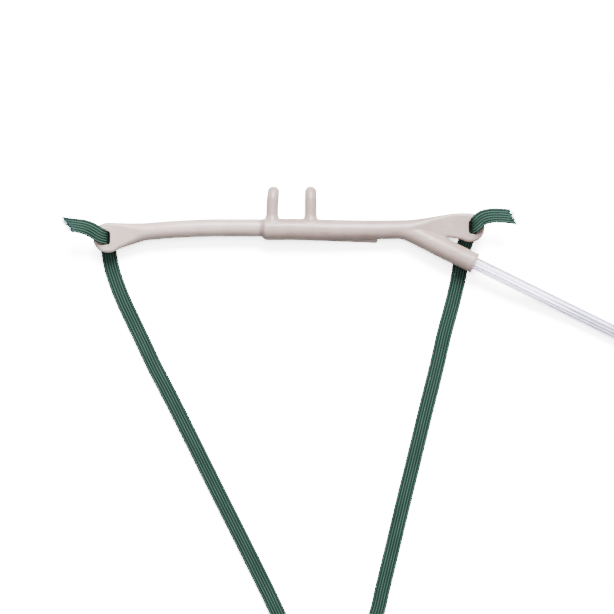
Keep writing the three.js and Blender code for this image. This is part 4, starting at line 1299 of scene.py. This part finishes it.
def band_vinyl():
    """Matt white vinyl: a fine grain and faint lengthwise drag marks from rolling."""
    material, tree, shader = new_material("band_vinyl")
    place = node(tree, "ShaderNodeTexCoord")
    grain = grain_in(tree, place, 2600, 3, 0.5, 0.7)
    marks = streaks_in(tree, (place, "Object"), (1400, 60, 60), 2)
    tint = node(tree, "ShaderNodeValToRGB", {"Fac": (marks, "Streaks")})
    tint.color_ramp.elements[0].position = 0.3
    tint.color_ramp.elements[0].color = (0.72, 0.72, 0.69, 1)
    tint.color_ramp.elements[1].position = 0.7
    tint.color_ramp.elements[1].color = (0.83, 0.83, 0.8, 1)
    tree.links.new(tint.outputs["Color"], shader.inputs["Base Color"])
    tree.links.new(grain.outputs["Roughness"], shader.inputs["Roughness"])
    tree.links.new(grain.outputs["Normal"], shader.inputs["Normal"])
    return material


tie_finish = band_vinyl()
for name, replaced, side in (("back_tie", "coil_tie_back", 1), ("front_tie", "coil_tie_front", -1)):
    tie = tie_mesh(name, side)
    tie.data.materials.append(tie_finish)
    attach(tie, "root")
    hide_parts(replaced)


# Floor and lights: a plain white surface under a wide soft light from beyond the prongs, with
# a weaker one straight overhead.
floor_mesh = bpy.data.meshes.new("floor")
floor_mesh.from_pydata([(-3, -3, 0), (3, -3, 0), (3, 3, 0), (-3, 3, 0)], [], [(0, 1, 2, 3)])
floor = bpy.data.objects.new("floor", floor_mesh)
bpy.context.scene.collection.objects.link(floor)
floor_material = bpy.data.materials.new("floor")
floor_material.use_nodes = True
floor_tree = floor_material.node_tree
floor_tree.nodes.clear()
ray = node(floor_tree, "ShaderNodeLightPath")
clear = node(floor_tree, "ShaderNodeMath", {0: (ray, "Is Camera Ray"), 1: (ray, "Is Transmission Ray")},
             operation="ADD", use_clamp=True)
white = node(floor_tree, "ShaderNodeMix",
             {0: (clear, "Value"), 6: (0.26, 0.26, 0.26, 1), 7: (6.5, 6.5, 6.5, 1)},
             data_type="RGBA")
matt = node(floor_tree, "ShaderNodeBsdfDiffuse", {"Color": (white, 2)})
node(floor_tree, "ShaderNodeOutputMaterial", {"Surface": (matt, "BSDF")})
floor_mesh.materials.append(floor_material)


def soft_light(name, place, aim, size, power):
    """A square area light at a place, turned to face its aim."""
    data = bpy.data.lights.new(name, "AREA")
    data.size = size
    data.energy = power
    light = bpy.data.objects.new(name, data)
    light.location = place
    way = np.asarray(aim, float) - np.asarray(place, float)
    light.rotation_euler = Vector(way).to_track_quat("-Z", "Y").to_euler()
    bpy.context.scene.collection.objects.link(light)


soft_light("key", (0.12, 1.0, 0.9), (0.0, -0.02, 0.0), 0.75, 92)
soft_light("top", (0.0, 0.05, 1.5), (0.0, -0.02, 0.0), 1.2, 26)

world = bpy.data.worlds.new("world")
bpy.context.scene.world = world
world.use_nodes = True
world.node_tree.nodes["Background"].inputs["Color"].default_value = (1, 1, 1, 1)
world.node_tree.nodes["Background"].inputs["Strength"].default_value = 0.12
